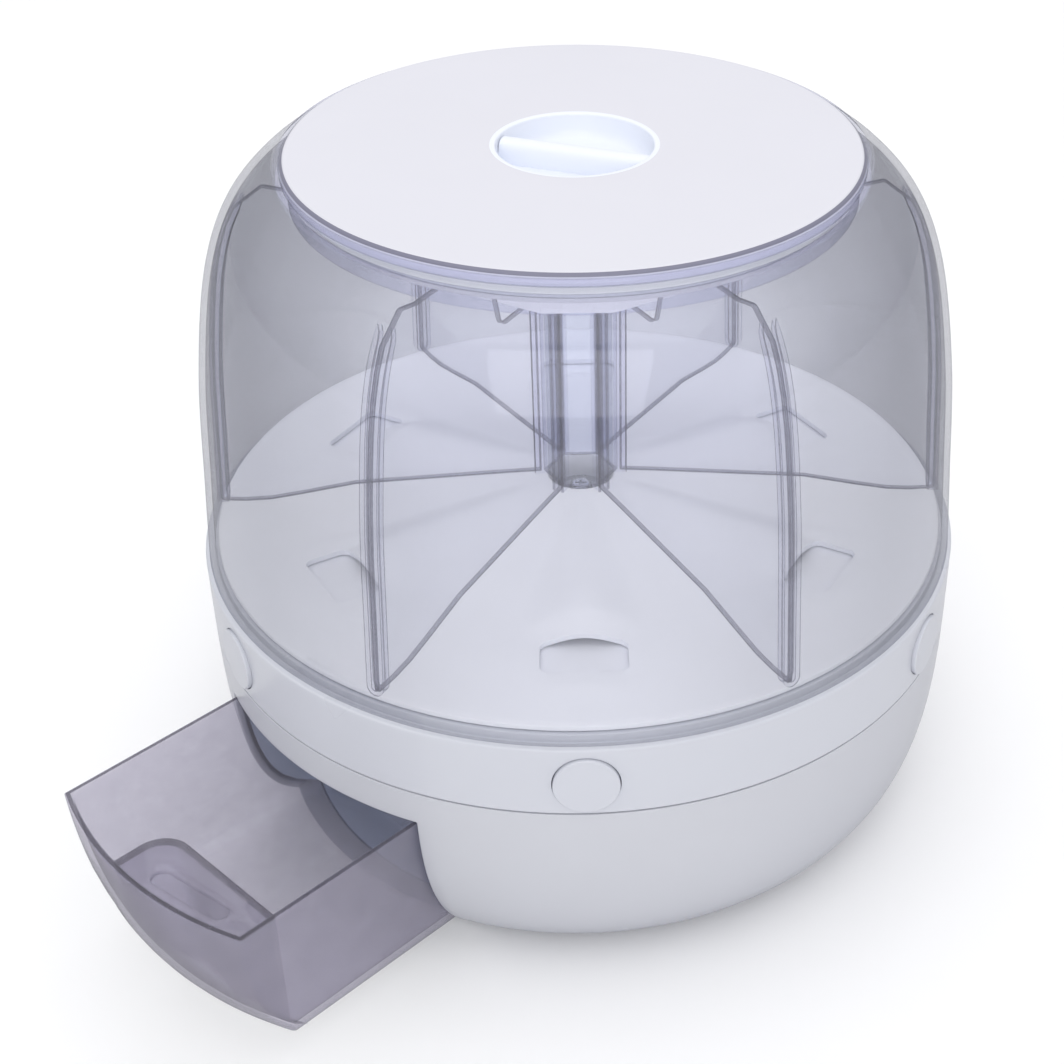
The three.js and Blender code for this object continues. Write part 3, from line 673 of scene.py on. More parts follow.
def build_floor():
    mb = MB()
    seg = 288
    rs = list(np.linspace(18.2, 143.2, 44))
    az = np.arange(seg) * 360.0 / seg
    rows = []
    rows.append([(13.2, 124.3)] * seg)
    rows.append([(13.2, 134.6)] * seg)
    rows.append([(13.6, 135.0)] * seg)
    for r in rs:
        rows.append([(r, dish_top(r, a)) for a in az])
    rows.append([(143.65, 122.75)] * seg)
    rows.append([(143.8, 122.3)] * seg)
    rows.append([(143.8, 121.1)] * seg)
    rows.append([(143.4, 120.8)] * seg)
    for r in rs[::-1][1::3]:
        rows.append([(r, dish_top(r, a) - 2.2) for a in az])
    rows.append([(15.6, 132.6)] * seg)
    rows.append([(15.4, 121)] * seg)
    P = np.zeros((len(rows), seg, 3))
    for i, row in enumerate(rows):
        for j, (r, z) in enumerate(row):
            a = az[j] * DEG
            P[i, j] = (r * math.sin(a), -r * math.cos(a), z)
    mb.grid(P, cu=True, cv=True)
    ob = make("hopper_floor_shell", mb, [M_INNER_PAINTED_LIGHT], None, angle=40)
    cutters = []
    for a in SECTOR_AZ:
        cb = MB()
        pillow(cb, rrect(-16, 16, -114, -96, 3.5, 6), 117, 128, 0.01, 0.01, 1, T=lambda P, a=a: rot(P, a))
        cutters.append(make("cut", cb, [M_INNER_PAINTED_LIGHT], None))
    boolean(ob, cutters)
    bevel_mod(ob, 0.5, 3, 50, 40)
    # rails that carry the gates, and the spring seats, under each outlet
    mb = MB()
    for a in SECTOR_AZ:
        for s in (1, -1):
            loop = [(19.5, 117.8), (17.4, 117.8), (17.4, 115.6), (22.5, 115.6), (22.5, 120.9), (19.5, 120.9)]
            lp = fil([(x * s, z) for x, z in (loop if s > 0 else loop[::-1])], default=0.35, n=2)
            P = np.array([[(x, -o, z) for x, z in lp] for o in (78.0, 90.0, 106.0, 121.5)])
            P = rot(P, a)
            mb.grid(P, cv=True)
            mb.ngon([tuple(q) for q in P[0]])
            mb.ngon([tuple(q) for q in P[-1]][::-1])
        pillow(mb, rrect(-22.5, 22.5, -121.5, -118.5, 0.5, 3), 96, 116.5, 0.4, 0.4, 3, T=lambda P, a=a: rot(P, a))
    rails = make("hopper_rails", mb, [M_INNER_PAINTED_LIGHT], "carousel")
    # the collar on the spindle bush
    mb = MB()
    revolve(mb, fil([(8.7, 92.3), (12.6, 92.3), (12.6, 119), (15.4, 121), (15.4, 124.1), (8.7, 124.1)], 0.4, 3), seg=64)
    make("hopper_collar", mb, [M_INNER_PAINTED_LIGHT], "carousel")
    done(ob, "carousel", ["hopper_floor"])


def build_hub():
    mb = MB()

    def hexloop(a):
        R = a / math.cos(30 * DEG)
        return [(R * math.sin((30 + 60 * i) * DEG), -R * math.cos((30 + 60 * i) * DEG)) for i in range(6)][::-1]
    lo = fil(hexloop(12.9), 1.2, 4)
    li = fil(hexloop(11.2), 0.7, 4)
    # outer and inner loops share their count, so the two ends close as rings
    zs = [135.4, 135.9] + list(np.linspace(150, 215, 6)) + [225.9, 226.4]
    insets = [0.4, 0] + [0] * 6 + [0, 0.4]
    O = np.array([[(x, y, z) for x, y in (np.asarray(lo) * (1 - i / 13.0))] for z, i in zip(zs, insets)])
    I = np.array([[(x, y, z) for x, y in (np.asarray(li) * (1 + i / 13.0))] for z, i in zip(zs, insets)])
    mb.grid(O, cv=True)
    mb.grid(I, cv=True)
    nf = len(lo) // 6                               # points in one rounded corner
    for k, q in enumerate(mb.f):
        # the short faces of the rounded corners carry the darker clear material, a painted shade line
        a_, b_ = mb.v[q[0]], mb.v[q[-1]]
        c_ = mb.v[q[1]]
        w_ = min(math.dist(mb.v[q[i]], mb.v[(q[(i + 1) % 4])]) for i in range(4))
        if w_ < 0.9:
            mb.m[k] = 2
    # the two end rings carry the same painted shade line
    mb.grid(np.array([O[0], I[0]]), cv=True, mat=2)
    mb.grid(np.array([O[-1], I[-1]]), cv=True, mat=2)
    for az in DIVIDER_AZ:
        for s in (1, -1):
            x0, x1 = (1.3, 2.5) if s > 0 else (-2.5, -1.3)
            T = lambda P, az=az: rot(P, az)
            # flange: two broad faces, and a rounded outer rim in the darker clear material, a painted shade line
            z0, z1 = 135.6, 226.2
            xa, xb = x0, x1
            pts = [(xa, -13.3), (xa, -17.9), (xa + 0.12, -18.25), (xa + 0.4, -18.4), (xb - 0.4, -18.4), (xb - 0.12, -18.25), (xb, -17.9), (xb, -13.3)]
            F = T(np.array([[(x, y, z) for x, y in pts] for z in np.linspace(z0, z1, 5)]))
            mb.grid(F[:, 0:2], mat=1)
            mb.grid(F[:, 1:7], mat=2)
            mb.grid(F[:, 6:8], mat=1)
            mb.ngon([tuple(q) for q in F[-1]], mat=1)
            mb.ngon([tuple(q) for q in F[0]][::-1], mat=1)
    make("divider_hub_column", mb, [M_HUB, M_RIB, M_LINE_PAINTED_SHADE], "carousel", ["divider_hub"], angle=25)


def build_dividers():
    for i, az in enumerate(DIVIDER_AZ):
        prof = []
        rr = [15.6, 30, 60, 90, 112, 124, 134]
        for r in rr:
            prof.append((r, float(np.interp(r, *RIDGE)) + 0.7, 0))
        prof.append((float(inner_r(124.5)) - 1.0, 124.2, 1.5))
        for z in (128, 140, 150, 165, 180, 194.6, 210, 222, 233.7, 243, 250.8):
            prof.append((float(inner_r(z)) - 0.9, z, 0))
        prof += [(113.2, 259.2, 2.5), (104.5, 257.4, 2.0), (95, 257.4, 0), (62, 257.4, 3.0), (54.5, 226.4, 4.0), (15.6, 226.4, 1.0)]
        loop = fil(prof, n=5)                       # (out, z), counter-clockwise
        T = lambda P, az=az: rot(np.stack([P[..., 2], -P[..., 0], P[..., 1]], -1), az)
        mb = MB()
        w, c = 0.9, 0.22
        L0, L1, L2 = np.asarray(offset_loop(loop, c)), np.asarray(loop), np.asarray(offset_loop(loop, 0.85))
        rows = [(L2, -w), (L0, -w), (L1, -w + c), (L1, w - c), (L0, w), (L2, w)]
        P = T(np.array([[(o, z, x) for o, z in L] for L, x in rows]))
        # the rim strips carry the darker clear material, painted shade that draws the sheet's outline; the broad faces
        # stay clear
        mb.grid(P, cv=True, mat=1)
        mb.ngon([tuple(q) for q in P[0]][::-1], mat=0)
        mb.ngon([tuple(q) for q in P[-1]], mat=0)
        make(f"divider_sheet_{i + 1}", mb, [M_DIV, M_EDGE_PAINTED_SHADE], "carousel", [f"divider_panel_{i + 1}"], angle=20)


# =====================================================================================
# buttons, gates, springs
# =====================================================================================
def build_buttons():
    for i, az in enumerate(SECTOR_AZ):
        body = f"button_{i + 1}"
        mb = MB()
        # turned about the travel axis: radius, distance out
        face = [(11.8, 147.4, 0.3), (11.8, 150.75, 1.1)]
        crown = [(r, 151.0 - 0.38 * (r / 11.0) ** 2) for r in (10.3, 9, 7.5, 6, 4.5, 3, 1.5, 0.0)]
        prof = fil([(0, 139.3, 0), (5, 139.3, 0.5), (5, 147.4, 0.5)] + face + [(10.6, 150.68, 0)], n=5, closed=False) + crown
        seg = 72
        P = np.zeros((seg, len(prof), 3))
        for k in range(seg):
            t = 2 * math.pi * k / seg
            for j, (r, o) in enumerate(prof):
                P[k, j] = (r * math.cos(t), -o, 101.5 + r * math.sin(t))
        mb.grid(rot(P, az), cu=True)
        make(f"button_cap_round_{i + 1}", mb, [M_WHITE], body, [f"button_cap_{i + 1}"], angle=35)
        # gate: plate with a window, and the web that joins it to the button
        mb = MB()
        T = lambda P, az=az: rot(P, az)
        lo = rrect(-18.8, 18.8, -138.9, -78.1, 1.5, 4)
        pillow(mb, lo, 118.1, 120.2, 0.3, 0.3, 3)
        ob = make(f"gate_plate_{i + 1}", mb, [M_INNER_PAINTED_LIGHT], None)
        cb = MB()
        pillow(cb, rrect(-15.5, 15.5, -127, -115.4, 2.5, 5), 110, 125, 0.01, 0.01, 1)
        c = make("cut", cb, [M_POM], None)
        boolean(ob, [c])
        ob.data.transform(Matrix.Rotation(az * DEG, 4, "Z"))
        shade(ob, 32)
        done(ob, body, [f"gate_slide_{i + 1}"])
        mb = MB()
        pillow(mb, rrect(-9, 9, -138.95, -137.05, 0.4, 3), 93.5, 118.3, 0.1, 0.4, 3, T=T)
        for s in (-1, 1):                                   # gussets
            pillow(mb, rrect(s * 6 - 0.6, s * 6 + 0.6, -137.2, -133.5, 0.3, 2), 110, 118.2, 0.1, 0.4, 2, T=T)
        make(f"gate_web_{i + 1}", mb, [M_POM], body)
        # return spring: round wire, closed end turns
        mb = MB()
        turns, n, sides, R, w, length = 5.0, 150, 10, 4.0, 0.42, 14.2
        P = np.zeros((n + 1, sides, 3))
        for k in range(n + 1):
            t = k / n
            e = 0.12
            u = t * length if not (t < e or t > 1 - e) else (t * 0.35 * length if t < e else length - (1 - t) * 0.35 * length)
            if e <= t <= 1 - e:
                u = e * 0.35 * length + (t - e) / (1 - 2 * e) * length * (1 - 0.7 * e)
            a = t * turns * 2 * math.pi
            for j in range(sides):
                b = 2 * math.pi * j / sides
                rr = R + w * math.cos(b)
                P[k, j] = (rr * math.cos(a), -122.1 - 0.0 - u * (13.4 / 14.2) - 0.4 + w * math.sin(b) - 0.0, 104.5 + rr * math.sin(a))
        P = rot(P, az)
        mb.grid(P, cv=True)
        mb.ngon([tuple(q) for q in P[0]])
        mb.ngon([tuple(q) for q in P[-1]][::-1])
        ob = make(f"return_spring_wire_{i + 1}", mb, [M_STEEL], None, angle=60)
        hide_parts(f"return_spring_{i + 1}")
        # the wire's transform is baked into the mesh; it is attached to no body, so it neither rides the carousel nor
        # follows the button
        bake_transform(ob)


# =====================================================================================
# lid
# =====================================================================================
def build_lid():
    mb = MB()
    dish = [(30.6, 274.0, 0), (28.5, 273.9, 0.7), (28.3, 264.4, 4.5), (0, 264.4, 0)]
    dish = fil(dish, n=6, closed=False)
    n_disc = 3
    outer = fil([(0, 262, 0), (31, 262, 1.5), (31, 271.2, 2.0), (96.6, 271.2, 1.2), (96.6, 261, 0.5), (100, 261, 0.5), (100, 262.8, 0.4), (98.5, 262.8, 0.3), (98.5, 269.3, 0.4),
                 (104.7, 269.3, 0.5), (104.7, 273.0, 1.0), (103.2, 274, 1.6), (96, 274, 0)], n=5, closed=False)
    prof = outer + [(80, 274.0), (56, 274.0), (36, 274.0)] + dish
    seg = 216
    prof_a = prof[:prof.index((36, 274.0)) + 1]
    revolve(mb, prof_a + [dish[0]], seg=seg, closed=False)
    revolve(mb, dish, seg=seg, closed=False, mat=1)
    for k, q in enumerate(mb.f):
        # the outermost strip of the top rim is painted as a dark line and the side of the flange as a darker lavender
        # band: painted shade on the lid, which is one white moulding
        r_ = sum(math.hypot(mb.v[i][0], mb.v[i][1]) for i in q) / len(q)
        z_ = sum(mb.v[i][2] for i in q) / len(q)
        if r_ > 103.75 and z_ > 269.4:
            mb.m[k] = 2 if z_ > 272.7 else 3
    make("lid_disc", mb, [M_LID, M_DISH_PAINTED_LIGHT, M_RIM_PAINTED_SHADE, M_FLANGE_PAINTED_SHADE], "lid", ["lid_panel"], angle=32)

    mb = MB()
    # a straight bar with a crowned top; its ends run into the wall of the recess
    sec = []
    for k in range(25):
        t = math.pi * k / 24
        c, q = math.cos(t), math.sin(t)
        sec.append((-4.5 * math.copysign(abs(c) ** 0.7, c), 265.2 + 7.4 * q ** 0.6))
    sec = [(-4.5, 264.4)] + sec + [(4.5, 264.4)]
    P = rot(np.array([[(x, y, z) for y, z in sec] for x in np.linspace(-27.9, 27.9, 9)]), -20)
    mb.grid(P, cv=True)
    mb.ngon([tuple(q) for q in P[0]])
    mb.ngon([tuple(q) for q in P[-1]][::-1])
    make("grip_bar_rounded", mb, [M_DISH_PAINTED_LIGHT], "lid", ["grip_bar"], angle=35)

    mb = MB()
    revolve(mb, fil([(98.8, 263.2), (100.2, 263.2), (100.5, 265.1), (100.2, 267), (98.8, 267)], 0.35, 3), seg=192)
    make("lid_seal_ring", mb, [M_SEAL], "lid", ["lid_seal"], angle=40)

    # twelve-sided well, open at the top
    def poly(R, z, r):
        pts = [(R * math.cos((15 + 30 * k) * DEG), R * math.sin((15 + 30 * k) * DEG)) for k in range(12)]
        return [(x, y, z) for x, y in fil(pts, r, 4)]
    mb = MB()
    rows = []
    R0, R1, z0, z1 = 50.0, 57.0, 230.0, 261.7
    lip = [(R0 - 2.2, z0), (R0 - 1.1, z0 + 0.2), (R0 - 0.3, z0 + 0.8), (R0 + 0.1, z0 + 2.0)]
    for k in range(1, 9):
        lip.append((R0 + (R1 - R0) * k / 9 + 0.1, z0 + (z1 - z0) * k / 9))
    lip += [(R1 - 0.1, z1 - 0.4), (R1 - 0.4, z1), (R1 - 1.2, z1), (R1 - 1.6, z1 - 0.4)]
    for k in range(8, 0, -1):
        lip.append((47.8 + (55.3 - 47.8) * k / 9, 232 + (z1 - 232) * k / 9))
    lip += [(47.6, 233.2), (46.6, 232.1), (45.5, 232.0)]
    for R, z in lip:
        rows.append(poly(R, z, 1.6))
    P = np.array(rows)
    mb.grid(P, cv=True)
    mb.ngon([tuple(q) for q in P[0]][::-1])
    mb.ngon([tuple(q) for q in P[-1]])
    make("lid_well_faceted", mb, [M_WELL_PAINTED_LIGHT], "lid", ["lid_well"], angle=20)


# =====================================================================================
# fixed base
# =====================================================================================
OPEN_HALF, OPEN_TOP = 54.2, 73.2


def build_bowl():
    """Turned bowl whose columns bend to the two upright sides of the drawer opening."""
    NO, NI, KZ = 150, 40, 26
    z_out = np.concatenate([7.3 + (73.2 - 7.3) * (np.linspace(0, 1, KZ) ** 1.25), [76.5, 80.0, 84.0, 87.0]])
    # inside wall, row by row, at the same level as the outside
    zi, ri = [], []
    for z in np.linspace(6.5, 90, 300):
        r, zz = bowl_in(z, 2.6)
        zi.append(zz)
        ri.append(r)
    z_in = np.concatenate([7.3 + (73.2 - 7.3) * (np.linspace(0, 1, KZ) ** 1.25), [75.6, 77.6]])
    r_in = np.interp(z_in, zi, ri)
    r_in = np.where(z_in < 9.9, np.maximum(r_in, 0) * 0 + np.interp(z_in, [7.3, 9.9], [float(bowl_r(7.3)) - 4.6, np.interp(9.9, zi, ri)]), r_in)
    r_in[-2:] = [142.6, 141.6]
    prof_out = [(float(bowl_r(z)), float(z)) for z in z_out]
    prof_in = [(float(r), float(z)) for r, z in zip(r_in, z_in)]
    top = fil([(prof_out[-1][0], 87.0, 0), (prof_out[-1][0] + 0.01, 87.6, 0.35), (146.7, 87.6, 0.3), (146.7, 80.0, 0.2), (141.5, 80.0, 0.4), (141.5, 78.2, 0)], n=3, closed=False)[1:]
    top = top + [(141.55, 77.9)]

    def cols(r, outside):
        a = math.asin(min(1.0, OPEN_HALF / r)) / DEG
        if outside:
            return np.linspace(a, 360 - a, NO + 1)
        return np.linspace(-a, a, NI + 1)

    def P(az, r, z):
        return (r * math.sin(az * DEG), -r * math.cos(az * DEG), z)
    mb = MB()
    K = KZ - 1                                     # row at the top of the opening
    Ao = np.array([[P(a, r, z) for a in cols(r, True)] for r, z in prof_out])
    Bo = np.array([[P(a, r, z) for a in cols(r, False)] for r, z in prof_out[K:]])
    Ai = np.array([[P(a, r, z) for a in cols(r, True)] for r, z in prof_in])
    Bi = np.array([[P(a, r, z) for a in cols(r, False)] for r, z in prof_in[K:]])
    mb.grid(Ao)
    mb.grid(Bo)
    mb.grid(Ai)
    mb.grid(Bi)
    tp = [prof_out[-1]] + top + [prof_in[-1]]
    mb.grid(np.array([[P(a, r, z) for a in cols(r, True)] for r, z in tp]))
    mb.grid(np.array([[P(a, r, z) for a in cols(r, False)] for r, z in tp]))
    mb.grid(np.array([Ao[0], Ai[0]]))                                   # bottom rim
    mb.grid(np.array([Ao[:K + 1, 0], Ai[:K + 1, 0]]))                   # right side of the opening
    mb.grid(np.array([Ao[:K + 1, -1], Ai[:K + 1, -1]]))                 # left side
    mb.grid(np.array([Bo[0], Bi[0]]))                                   # top of the opening

    def on_lip(e):
        m = [v.co / MM for v in e.verts]
        s = [(abs(abs(p.x) - OPEN_HALF) < 0.05 and p.y < 0 and p.z < 73.4) or (abs(p.z - OPEN_TOP) < 0.05 and abs(p.x) < OPEN_HALF + 0.1 and p.y < 0) for p in m]
        return all(s)
    ob = make("base_bowl_shell", mb, [M_BOWL_PAINTED_SHADE], None, weld=0.01, bev=(0.95, 4, 40, on_lip))
    ob.data.transform(Matrix.Rotation(DRAWER_AZ * DEG, 4, "Z"))
    shade(ob, 32)
    done(ob, "base", ["base_bowl"])


def build_underside():
    mb = MB()
    prof = fil([(0, 2.2, 0), (108, 2.2, 3), (117, 3.2, 3), (124, 5.0, 3), (127.3, 6.8, 0.2), (127.3, 7.0, 0.1), (118, 7.0, 0.5), (118, 5, 0.6), (0, 5, 0)], n=4, closed=False)
    revolve(mb, prof, seg=192, closed=False)
    ob = make("bottom_plate_disc", mb, [M_BOWL_PAINTED_SHADE], None)
    cutters = []
    at = lambda r, az: (r * math.sin(az * DEG), -r * math.cos(az * DEG))

    def rodcut(r, z0, z1, x, y, n=40):
        cb = MB()
        pillow(cb, circle(r, n, x, y), z0, z1, 0.001, 0.001, 1)
        return make("cut", cb, [M_WHITE], None)
    cutters.append(rodcut(16.35, 0, 3.25, 0, 0, 64))
    for az in (0, 90, 180, 270):
        cutters.append(rodcut(9.35, 0, 3.25, *at(88, az)))
    for az in (20, 90, 160, 230):
        cutters.append(rodcut(4.3, 0, 7.5, *at(105, az)))
    boolean(ob, cutters)
    bevel_mod(ob, 0.3, 2, 60, 35)
    done(ob, "base", ["bottom_plate"])
    # screw bosses on the plate
    mb = MB()
    for az in (20, 90, 160, 230):
        x, y = at(105, az)
        lo, li = circle(6, 40, x, y), circle(4.3, 40, x, y)
        lj = circle(2.1, 40, x, y)
        rows = [(lo, 4.6), (lo, 7.7), (circle(5.7, 40, x, y), 8.0), (circle(2.4, 40, x, y), 8.0), (lj, 7.7), (lj, 5.6), (li, 5.6), (li, 4.6)]
        mb.grid(np.array([[(a, b, z) for a, b in L] for L, z in rows]), cv=True, cu=True)
    make("plate_bosses", mb, [M_WHITE], "base")
    # rubber feet: a turned pad with a domed tread ring
    mb = MB()
    revolve(mb, fil([(0, 0.6, 0), (4.5, 0.6, 0.4), (5.6, 0.0, 0.4), (15.2, 0.0, 0.8), (16, 0.9, 0.5), (16, 3, 0.2), (0, 3, 0)], n=4, closed=False), seg=96, closed=False)
    make("foot_center_pad", mb, [M_RUBBER], "base", ["foot_center"])
    for i, az in enumerate((0, 90, 180, 270)):
        mb = MB()
        revolve(mb, fil([(0, 0.5, 0), (3.2, 0.5, 0.3), (4.0, 0.0, 0.3), (8.4, 0.0, 0.6), (9, 0.8, 0.4), (9, 3, 0.2), (0, 3, 0)], n=4, closed=False), seg=64, closed=False)
        mb.v = [(a + at(88, az)[0], b + at(88, az)[1], c) for a, b, c in mb.v]
        make(f"foot_pad_{i + 1}", mb, [M_RUBBER], "base", [f"foot_{i + 1}"])
    # screws: pan head with a cross recess and a threaded shank
    for i, az in enumerate((20, 90, 160, 230)):
        mb = MB()
        n, seg = 26, 32
        th = []
        for k in range(90):
            z = 5.3 + (20.6 - 5.3) * k / 89
            th.append((1.35 + 0.22 * (0.5 + 0.5 * math.cos(z * 2 * math.pi / 0.9)), z))
        prof = fil([(0, 3.0, 0), (2.6, 3.0, 0.8), (3.8, 3.9, 0.5), (3.8, 5.3, 0.2), (1.6, 5.3, 0)], n=4, closed=False) + th + [(0.6, 21.0), (0, 21.0)]
        revolve(mb, prof, seg=seg, closed=False)
        ob = make("screw", mb, [M_STEEL], None)
        cb = MB()
        pillow(cb, rrect(-2.0, 2.0, -0.42, 0.42, 0.2, 2), 2.0, 4.1, 0.2, 0.01, 2)
        cc = MB()
        pillow(cc, rrect(-0.42, 0.42, -2.0, 2.0, 0.2, 2), 2.0, 4.1, 0.2, 0.01, 2)
        boolean(ob, [make("c1", cb, [M_STEEL], None), make("c2", cc, [M_STEEL], None)])
        ob.name = f"base_screw_turned_{i + 1}"
        x, y = at(105, az)
        ob.data.transform(Matrix.Translation((x * MM, y * MM, 0)) @ Matrix.Rotation((17 + 31 * i) * DEG, 4, "Z"))
        shade(ob, 35)
        done(ob, "base", [f"base_screw_{i + 1}"])


def build_deck():
    at = lambda r, az: (r * math.sin(az * DEG), -r * math.cos(az * DEG))
    mb = MB()
    prof = fil([(6.5, 80.3, 0.3), (146, 80.3, 0.4), (146, 83.3, 0.4), (13, 83.3, 0.6), (13, 86, 0.4), (6.5, 86, 0.3)], n=3)
    revolve(mb, prof, seg=160)
    ob = make("base_deck_disc", mb, [M_INNER_PAINTED_LIGHT], None)
    cb = MB()
    pillow(cb, rrect(-23.5, 23.5, -123.5, -88.5, 3, 5), 78, 90, 0.01, 0.01, 1, T=lambda P: rot(P, DRAWER_AZ))
    boolean(ob, [make("cut", cb, [M_INNER_PAINTED_LIGHT], None)])
    bevel_mod(ob, 0.3, 2, 60, 35)
    done(ob, "base", ["base_deck"])
    # chute skirt and posts under the deck
    mb = MB()
    lo = rrect(-25.6, 25.6, -125.6, -86.4, 4.5, 6)
    li = rrect(-23.5, 23.5, -123.5, -88.5, 3, 6)
    rows = [(lo, 80.4), (lo, 75.4), (offset_loop(lo, 0.3), 75.05), (offset_loop(li, -0.3), 75.05), (li, 75.4), (li, 83.1)]
    mb.grid(rot(np.array([[(x, y, z) for x, y in L] for L, z in rows]), DRAWER_AZ), cv=True)
    for az in (20, 90, 160, 230):
        x, y = at(105, az)
        lo = circle(5.5, 36, x, y)
        lj = circle(2.0, 36, x, y)
        rows = [(lo, 80.4), (lo, 9.0), (circle(5.1, 36, x, y), 8.35), (circle(2.3, 36, x, y), 8.35), (lj, 8.7), (lj, 24)]
        mb.grid(np.array([[(a, b, z) for a, b in L] for L, z in rows]), cv=True)
        mb.ngon([(a, b, 24) for a, b in lj])
    make("deck_posts_and_chute", mb, [M_INNER_PAINTED_LIGHT], "base")


def build_bay():
    """Drawer bay: floor and side walls as one skin with a rounded corner along each side, and a rear wall."""
    W, T, ZF, ZT, REAR = 56.4, 2.0, 7.0, 73.4, 21.4
    rc = 5.0

    def bound(x, z):
        # how far out the bay may reach at side x, height z: just inside the bowl wall
        zz = min(max(z, 7.0), 73.8)
        if zz < 7.36:
            r = 117.4
        else:
            q = [bowl_in(k, 2.6 + 1.4) for k in np.linspace(9.0, 80.0, 60)]
            r = float(np.interp(zz, [7.36, 9.5] + [k[1] for k in q if k[1] > 12], [118.5, 124.0] + [k[0] for k in q if k[1] > 12]))
        return math.sqrt(max(r * r - x * x, 1.0))

    def sec(w, z0, r, zt):
        pts = [(-w, zt)] + [(-w, z) for z in np.linspace(zt, z0 + r, 10)[1:-1]]
        for k in range(9):
            a = math.pi + math.pi / 2 * k / 8
            pts.append((-w + r + r * math.cos(a), z0 + r + r * math.sin(a)))
        pts += [(x, z0) for x in np.linspace(-w + r, w - r, 14)[1:-1]]
        for k in range(9):
            a = 1.5 * math.pi + math.pi / 2 * k / 8
            pts.append((w - r + r * math.cos(a), z0 + r + r * math.sin(a)))
        pts += [(w, z) for z in np.linspace(z0 + r, zt, 10)[1:-1]] + [(w, zt)]
        return pts
    si = sec(W - T, ZF, rc, ZT)
    so = sec(W, 5.4, rc + 1.0, ZT)
    mb = MB()
    t = np.linspace(0, 1, 14)
    f0, f1 = REAR + T, REAR
    I = np.array([[(x, -(f0 + (bound(x, z) - f0) * u), z) for u in t] for x, z in si])
    O = np.array([[(x, -(f1 + (min(bound(x, z), 116.9 if z < 7.2 else 1e9) - f1) * u), z) for u in t] for x, z in so])
    mb.grid(I)
    mb.grid(O)
    mb.grid(np.array([I[:, -1], O[:, -1]]))
    mb.grid(np.array([I[0], O[0]]))
    mb.grid(np.array([I[-1], O[-1]]))
    mb.ngon([tuple(p) for p in I[:, 0]])
    mb.ngon([tuple(p) for p in O[:, 0]][::-1])
    mb.grid(np.array([[tuple(I[0, 0]), tuple(I[-1, 0])], [tuple(O[0, 0]), tuple(O[-1, 0])]]))
    ob = make("drawer_bay_liner", mb, [M_BAY_PAINTED_SHADE], None, angle=35)
    ob.data.transform(Matrix.Rotation(DRAWER_AZ * DEG, 4, "Z"))
    done(ob, "base", ["drawer_bay"])


def build_spindle():
    def turned(name, prof, mat, rep, seg=64, body="base"):
        mb = MB()
        revolve(mb, prof, seg=seg, closed=not (prof[0][0] == 0 and prof[-1][0] == 0))
        make(name, mb, [mat], body, [rep], angle=35)
    turned("spindle_shaft_turned", fil([(0, 76, 0), (11, 76, 0.5), (11, 80, 0.4), (6.1, 80, 0.5), (6.1, 124.2, 0.6), (2.5, 124.2, 0.3), (2.5, 110, 0.2), (0, 110, 0)], n=4, closed=False), M_STEEL, "spindle_shaft")
    turned("glide_ring_turned", fil([(143.4, 83.6), (145.9, 83.6), (145.9, 87.9), (143.4, 87.9)], 0.4, 3), M_POM, "glide_ring", 160)
    turned("spindle_washer_turned", fil([(2.8, 124.6), (11.4, 124.6), (11.4, 125.9), (2.8, 125.9)], 0.2, 2), M_STEEL, "spindle_washer")
    turned("spindle_bush_turned", fil([(6.5, 86.4), (12.4, 86.4), (12.4, 91.9), (8.4, 91.9), (8.4, 123.7), (6.5, 123.7)], 0.3, 3), M_POM, "spindle_bush", body="carousel")
    mb = MB()
    th = [(1.75 + 0.3 * (0.5 + 0.5 * math.cos(z * 2 * math.pi / 0.8)), z) for z in np.linspace(112.4, 126.0, 100)]
    prof = [(0, 112), (1.6, 112)] + th + fil([(2.1, 126.2, 0), (4.6, 126.2, 0.3), (4.6, 128.4, 0.8), (3.4, 129.4, 0.8), (0, 129.4, 0)], n=4, closed=False)
    revolve(mb, prof, seg=48, closed=False)
    ob = make("spindle_screw_turned", mb, [M_STEEL], None)
    cb, cc = MB(), MB()
    pillow(cb, rrect(-2.4, 2.4, -0.5, 0.5, 0.2, 2), 128.0, 131, 0.01, 0.2, 2)
    pillow(cc, rrect(-0.5, 0.5, -2.4, 2.4, 0.2, 2), 128.0, 131, 0.01, 0.2, 2)
    boolean(ob, [make("c1", cb, [M_STEEL], None), make("c2", cc, [M_STEEL], None)])
    shade(ob, 35)
    done(ob, "base", ["spindle_screw"])


